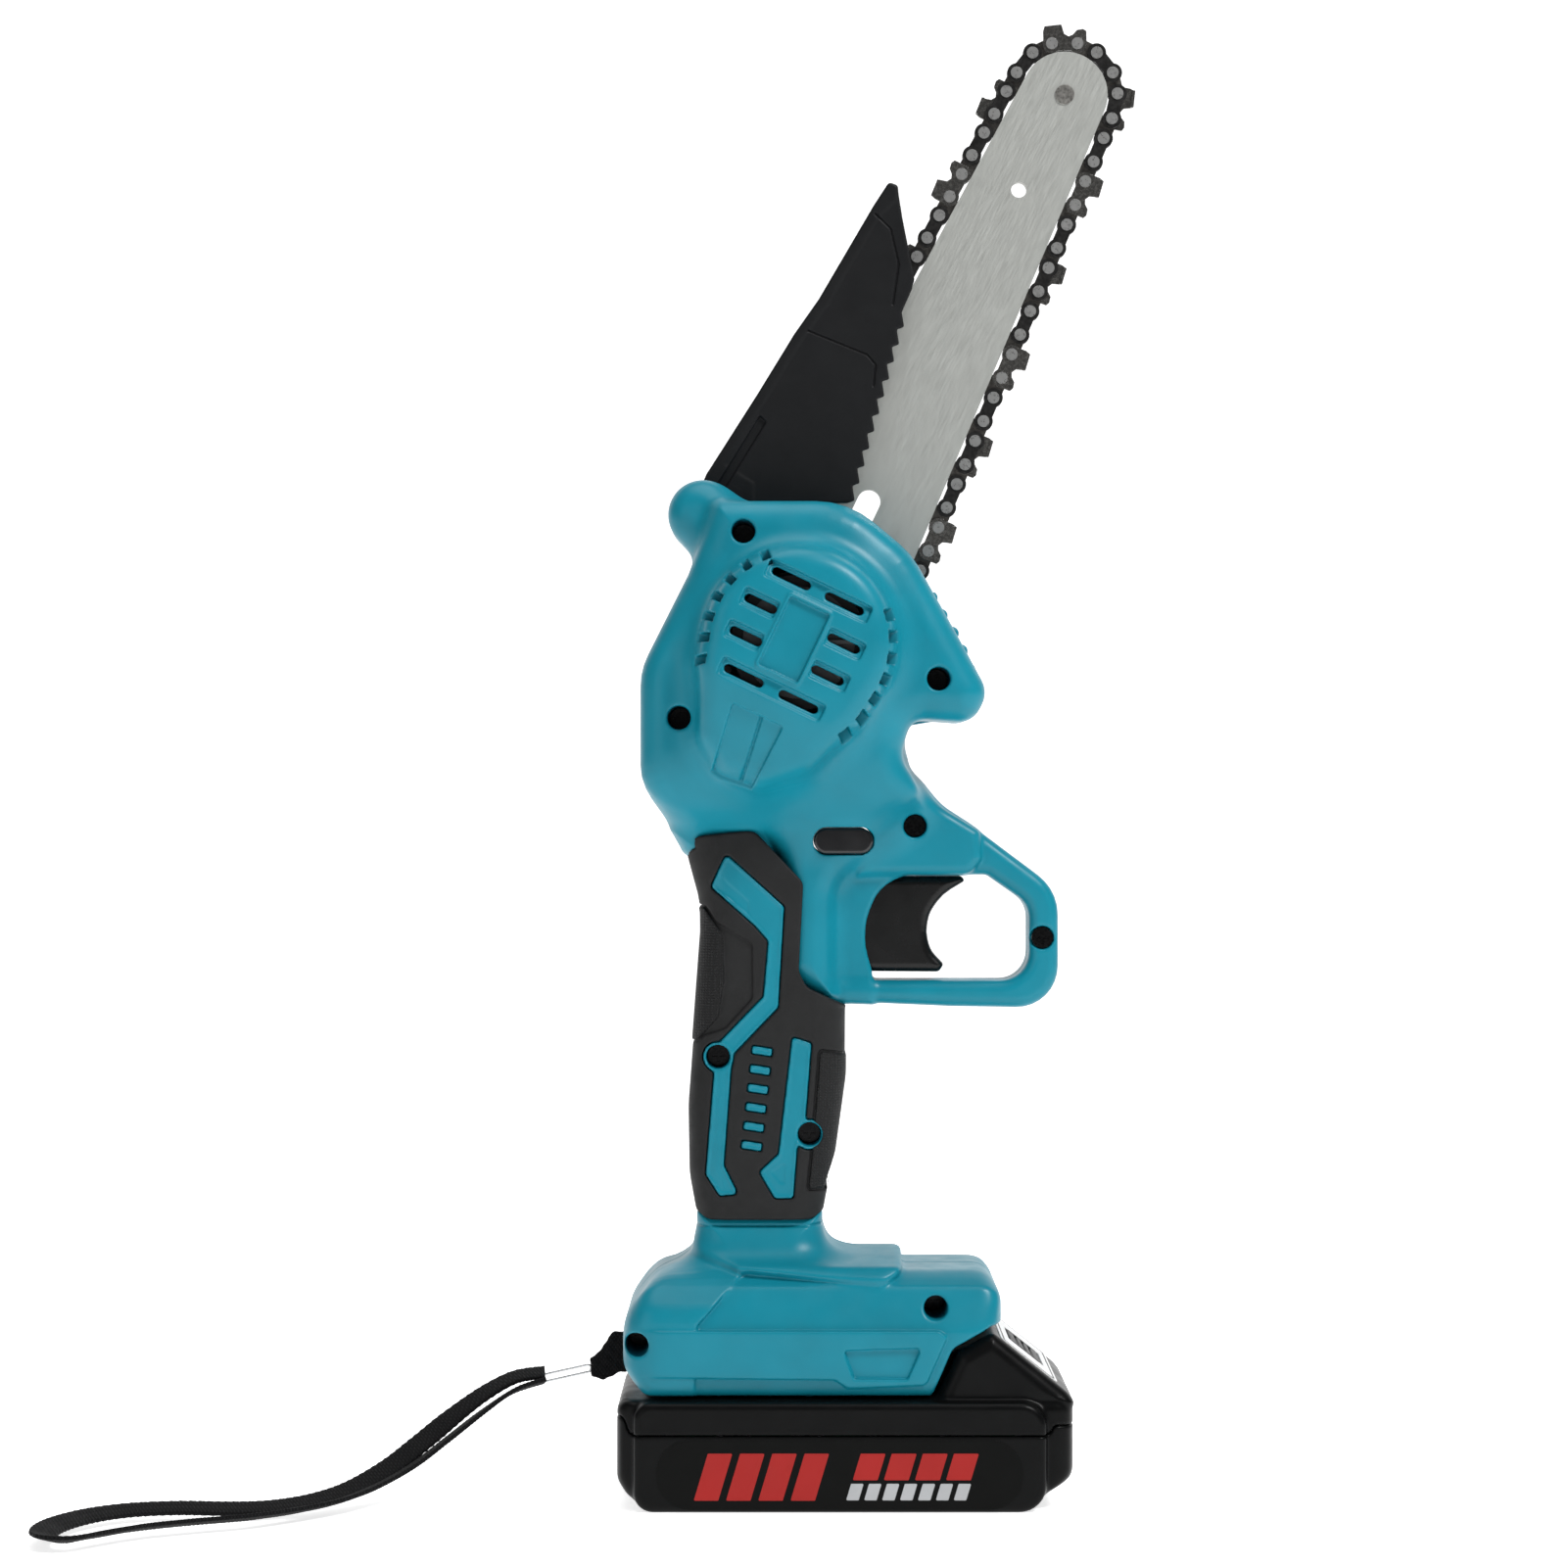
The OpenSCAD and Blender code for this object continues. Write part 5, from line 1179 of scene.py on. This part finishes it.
def make_trigger():
    g = grid_round("trigger", 0.3)
    half = corners("trigger")[1][1]
    shape = slab(g.side(TRIGGER_PATH), g.y, -half, half, 2.2)
    shape = cut(shape, slab(block(g.x + 0.5, g.z - 150, 3, 3.6, 0.1), g.y, -3.6, 3.6))
    mould("trigger_blade", g, shape, "satin_black", "trigger", "trigger")


def make_lock_button():
    low, high = corners("lock_button")
    g = grid_round("lock_button", 0.22)
    face = stadium(g.x - LOCK[0], g.z - LOCK[1], 4.4, 3.4)
    shape = slab(face, g.y, low[1], high[1], 0.7)
    mould("lock_button_cap", g, shape, "gloss_black", "lock_button", "lock_button")


# ---- battery ----
SLOPE_OUT = unit(np.array([0.62, 0.785]))
SLOPE_DOWN = np.array([SLOPE_OUT[1], -SLOPE_OUT[0]])
BUTTON = np.array([48.2, 38.4])
PACK_HALF = 60.3
PACK_TOP = 28.5
SPLIT = 19.9
RAIL_FROM, RAIL_TO = -45.5, 34.0


def slope_axes(g):
    """Distances down and out of the hump's sloping face, from the middle of the release button."""
    dx, dz = g.x - np.float32(BUTTON[0]), g.z - np.float32(BUTTON[1])
    return dx * SLOPE_DOWN[0] + dz * SLOPE_DOWN[1], dx * SLOPE_OUT[0] + dz * SLOPE_OUT[1]


def pack_shape(g):
    """The battery's outside up to its shoulder: a full-width middle between ends that are set back."""
    out = np.abs(g.y)
    side = g.side([(-60.3, 7.8, 4), (-56.5, 3.4, 5), (-50, 0, 2), (44.5, 0, 2), (50.5, 2.9, 5),
                              (60.3, 8.8, 4), (60.3, 28.5, 3.5), (-60.3, 28.5, 3.5)])
    ends = both(side, block(g.x, out, PACK_HALF, 33.6, 6), 3)
    panel = g.side([(-55, 0, 5), (52.3, 0, 7), (52.3, PACK_TOP, 6.5), (-55, PACK_TOP, 4.6)])
    middle = slab(panel, out, -5, 37.5, 1.8)
    return join(ends, middle, 1.4)


def seam_height(g):
    """Where the two shells meet: level, with a step up at each end."""
    return SPLIT + 4.4 * ramp(-g.x, 55.6, 58.2) + 2.2 * ramp(g.x, 52.6, 55)


def case_bottom_field(g):
    shape = pack_shape(g)
    room = both(shape + WALL, 2.5 - g.z)
    return both(cut(shape, room), g.z - (seam_height(g) - 0.14), 0.3)


def case_top_field(g):
    out = np.abs(g.y)
    shell = pack_shape(g)
    shape = cut(shell, both(shell + WALL, g.z - (PACK_TOP - WALL)))
    shape = both(shape, (seam_height(g) + 0.14) - g.z, 0.3)
    middle, half = (RAIL_FROM + RAIL_TO) / 2, (RAIL_TO - RAIL_FROM) / 2
    neck = slab(block(g.x - middle, out, half, 24.2, 0.5), g.z, 27, 34)
    rails = slab(block(g.x - middle, out, half, 27.2, 0.5), g.z, 32.7, 40.4, 0.5)
    hump = slab(g.side([(23.7, 26.5, 0), (62.8, 26.5, 0), (38.5, 46, 2.2), (29.3, 40.9, 3),
                                   (23.9, 29.3, 0)]), out, -5, 33, 4)
    hump = both(hump, g.x - 60.2, 3)
    shape = join(shape, join(neck, rails))
    shape = join(shape, hump, 1.5)
    inner = g.side([(36, 20, 0), (56, 20, 0), (56, 27, 0), (44, 35.5, 0), (38, 38, 0), (36, 36, 0)])
    shape = cut(shape, both(inner, out - 18))
    for y in (-12, 0, 12):
        slit = both(block(g.y - y, g.z - 37.4, 1, 4, 0.1), g.x - (RAIL_FROM + 17))
        shape = cut(shape, slit)
    down, high = slope_axes(g)
    well = both(block(down, g.y, 5.3, 12.3, 0.8), -9 - high)
    shape = cut(shape, well, 0.3)
    for x in (-52, 52):
        shape = cut(shape, both(disc(g.x, out, (x, 29), 1.5), g.z - 21))
    return shape


def make_battery_case():
    bottom = Grid((-61.5, -38.6, -1), (61.5, 38.6, 25.4), 0.55)
    mould("battery_case_lower", bottom, case_bottom_field(bottom), "battery_plastic", "battery",
          "battery_case_bottom")
    top = Grid((-61.5, -38.6, 17.5), (61.5, 38.6, 47), 0.55)
    mould("battery_case_upper", top, case_top_field(top), "battery_plastic", "battery", "battery_case_top")


def plates(name, outlines, finish, y0, y1):
    """Thin plates between two depths, each from an outline in X-Z with rounded corners."""
    vertices, faces = [], []
    for path in outlines:
        ring = rounded(path)
        count, first = len(ring), len(vertices)
        for y in (y0, y1):
            vertices += [(a, y, b) for a, b in ring]
        faces.append([first + i for i in range(count)])
        faces.append([first + count + i for i in range(count)][::-1])
        faces += [(first + count + i, first + count + (i + 1) % count, first + (i + 1) % count, first + i)
                  for i in range(count)]
    return new_object(name, vertices, faces, FINISHES[finish], False)


def slanted_bars(x0, x1, z0, z1, count, gap, lean=0.30):
    """A row of equal slanted bars that fills the box."""
    pitch = (x1 - x0 - lean * (z1 - z0) + gap) / count
    bars = []
    for k in range(count):
        left = x0 + k * pitch
        right = left + pitch - gap
        rise = lean * (z1 - z0)
        bars.append([(left, z0, 0.3), (right, z0, 0.3), (right + rise, z1, 0.3), (left + rise, z1, 0.3)])
    return bars


def make_label():
    face = -37.5
    sheet = [(-49, 0.9, 10), (46.1, 0.9, 10), (46.1, 18.9, 8.5), (-49, 18.9, 8.5)]
    piece = plates("battery_label_sheet", [sheet], "label", face - 0.16, face + 0.1)
    place(piece, "battery", "label", "battery_label")
    big = slanted_bars(-39.3, -4.2, 3.3, 15.5, 4, 2.0)
    small = slanted_bars(1.9, 34.6, 8.6, 15.5, 4, 1.6)
    piece = plates("battery_label_red_bars", big + small, "print_red", face - 0.2, face - 0.1)
    place(piece, "battery", "print_red")
    fine = slanted_bars(0.2, 32.6, 3.4, 7.7, 7, 1.4)
    piece = plates("battery_label_silver_bars", fine, "print_silver", face - 0.2, face - 0.1)
    place(piece, "battery", "print_silver")


def make_slope_sticker():
    """A pale sticker on the hump's slope, open round the release button, with a thin dark margin."""
    for name, finish, proud, inset in (("slope_sticker", "print_white", 0.10, 0.0),
                                       ("slope_sticker_line", "label", 0.14, 0.9)):
        outer = rounded([(-9.4 + inset, -28 + inset, 2), (9.4 - inset, -28 + inset, 2),
                         (9.4 - inset, 28 - inset, 2), (-9.4 + inset, 28 - inset, 2)])
        if inset:
            inner = outer * (1 - 0.5 / np.array([9.4, 28]))
        else:
            inner = rounded([(-5.9, -12.9, 1), (5.9, -12.9, 1), (5.9, 12.9, 1), (-5.9, 12.9, 1)])
        count = len(outer)
        vertices, faces = [], []
        for ring in (outer, inner):
            for high in (proud, -0.4):
                for down, y in ring:
                    spot = BUTTON + SLOPE_DOWN * down + SLOPE_OUT * high
                    vertices.append((spot[0], y, spot[1]))
        for i in range(count):
            j = (i + 1) % count
            faces += [(i, j, 2 * count + j, 2 * count + i),
                      (count + j, count + i, 3 * count + i, 3 * count + j),
                      (j, i, count + i, count + j),
                      (2 * count + i, 2 * count + j, 3 * count + j, 3 * count + i)]
        place(new_object(name, vertices, faces, FINISHES[finish], False), "battery", finish)


def make_release_button():
    g = grid_round("release_button", 0.3)
    down, up = slope_axes(g)
    shape = slab(block(down, g.y, 5, 12, 1.0), up, -3.5, 0.2, 0.3)
    ridge = both(np.abs(down - np.round(down / 2.4) * 2.4) - 0.5, block(down, g.y, 3.9, 9.5, 0.5))
    shape = cut(shape, both(ridge, -0.5 - up), 0.3)
    mould("release_button_cap", g, shape, "black_plastic", "release_button", "release_button")


def turned(name, spots, profile, finish):
    """Lathed pieces about upright axes, from a profile of (radius, height)."""
    count = 32
    vertices, faces = [], []
    for x, y in spots:
        faces += tube_faces(len(profile), count, len(vertices))
        for r, z in profile:
            angles = [2 * math.pi * k / count for k in range(count)]
            vertices += [(x + r * math.cos(angle), y + r * math.sin(angle), z) for angle in angles]
    return new_object(name, vertices, faces, FINISHES[finish], False)


def make_battery_screws():
    spots = [(x, y) for x in (-52, 52) for y in (-29, 29)]
    profile = [(1.0, 8.2), (1.8, 8.0), (2.7, 8.0), (2.8, 8.2), (2.8, 9.8), (2.6, 10.0), (1.4, 10.1),
               (1.4, 20.2), (0.7, 20.6)]
    piece = turned("battery_case_screws", spots, profile, "screw_black")
    place(piece, "battery", "screw_black", "battery_screws")


# ---- springs that the trigger and the release button press ----
SWITCH_FACE = corners("switch_module")[1][0]
SPRING_R = 2.6


WIRE_SIDES = 10


def wire_ring(middle, a, b, wire):
    """The vertices round a wire at one place along it, in the plane of a and b."""
    turns = [2 * math.pi * k / WIRE_SIDES for k in range(WIRE_SIDES)]
    return [middle + wire * (a * math.cos(turn) + b * math.sin(turn)) for turn in turns]


def coil(name, start, axis, length, radius, wire, turns):
    """A round-wire compression spring from start along axis."""
    side = unit(np.cross(axis, (0, 1, 0)))
    other = np.cross(axis, side)
    count = 20 * turns
    vertices = []
    for i in range(count + 1):
        angle = 2 * math.pi * i * turns / count
        spoke = side * math.cos(angle) + other * math.sin(angle)
        middle = start + axis * (wire + (length - 2 * wire) * i / count) + spoke * radius
        vertices += wire_ring(middle, spoke, axis, wire)
    return new_object(name, vertices, tube_faces(count + 1, WIRE_SIDES), FINISHES["zinc_steel"])


def make_strap_link():
    """The strap's link: a long ring of wire, one run above the other, from the anchor into the webbing."""
    start, end = np.array([-67.6, 0, 32.7]), np.array([-80.6, 0, 29.8])
    forward = unit(end - start)
    up = np.cross(forward, (0, 1, 0))
    half, wire = 0.95, 0.32
    vertices = []
    for turn, middle in ((0, end - forward * half), (math.pi, start + forward * half)):
        for angle in np.linspace(0, math.pi, 12) + turn:
            spoke = forward * math.sin(angle) + up * math.cos(angle)
            vertices += wire_ring(middle + spoke * half, spoke, np.array([0, 1.0, 0]), wire)
    faces = tube_faces(len(vertices) // WIRE_SIDES, WIRE_SIDES, closed=True)
    piece = new_object("strap_link_ring", vertices, faces, FINISHES["zinc_steel"])
    place(piece, "tool", "zinc_steel", "strap_link")


def make_spring(name, body, node, start, axis, length, wire, turns):
    """A spring that stands on start, on its body, with a mesh of its own."""
    piece = coil(name, start, axis, length, SPRING_R, wire, turns)
    place(piece, body, "zinc_steel", node)
    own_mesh(piece)


def make_springs():
    make_spring("trigger_spring_wire", "tool", "trigger_spring",
                np.array([SWITCH_FACE, 0, 150.0]), np.array([1.0, 0, 0]), 12.1, 0.4, 5)
    out = np.array([SLOPE_OUT[0], 0, SLOPE_OUT[1]])
    make_spring("release_spring_wire", "battery", "release_spring",
                np.array([BUTTON[0], 0, BUTTON[1]]) - 9.4 * out, out, 5.8, 0.35, 4)


# ---- strap anchor ----
ANCHOR = [(-56, 42.4, 0.3), (-56, 31.6, 0.3), (-59.6, 31.6, 1), (-64, 29.4, 1), (-67.6, 30.4, 0.8),
          (-68, 35.2, 0.8), (-65.4, 37, 1.5), (-62, 42.4, 1.5)]


def make_strap_anchor():
    """The folded webbing tab, wrinkled across its length."""
    g = grid_round("strap_anchor", 0.25)
    fold = 0.12 * np.sin((g.x * 1.9 + g.z * 0.7)) * np.sin(g.z * 1.3 - g.x * 0.4)
    shape = slab(g.side(ANCHOR) + 0.1, g.y, -1.35, 1.35, 0.6) + fold.astype(np.float32)
    mould("strap_anchor_tab", g, shape, "webbing", "tool", "strap_anchor")


make_right_housing()
make_grip_sleeves()
make_sprocket_cover()
make_blade_guard()
make_trigger()
make_lock_button()
make_battery_case()
make_label()
make_slope_sticker()
make_release_button()
make_battery_screws()
make_springs()
make_strap_link()
make_strap_anchor()
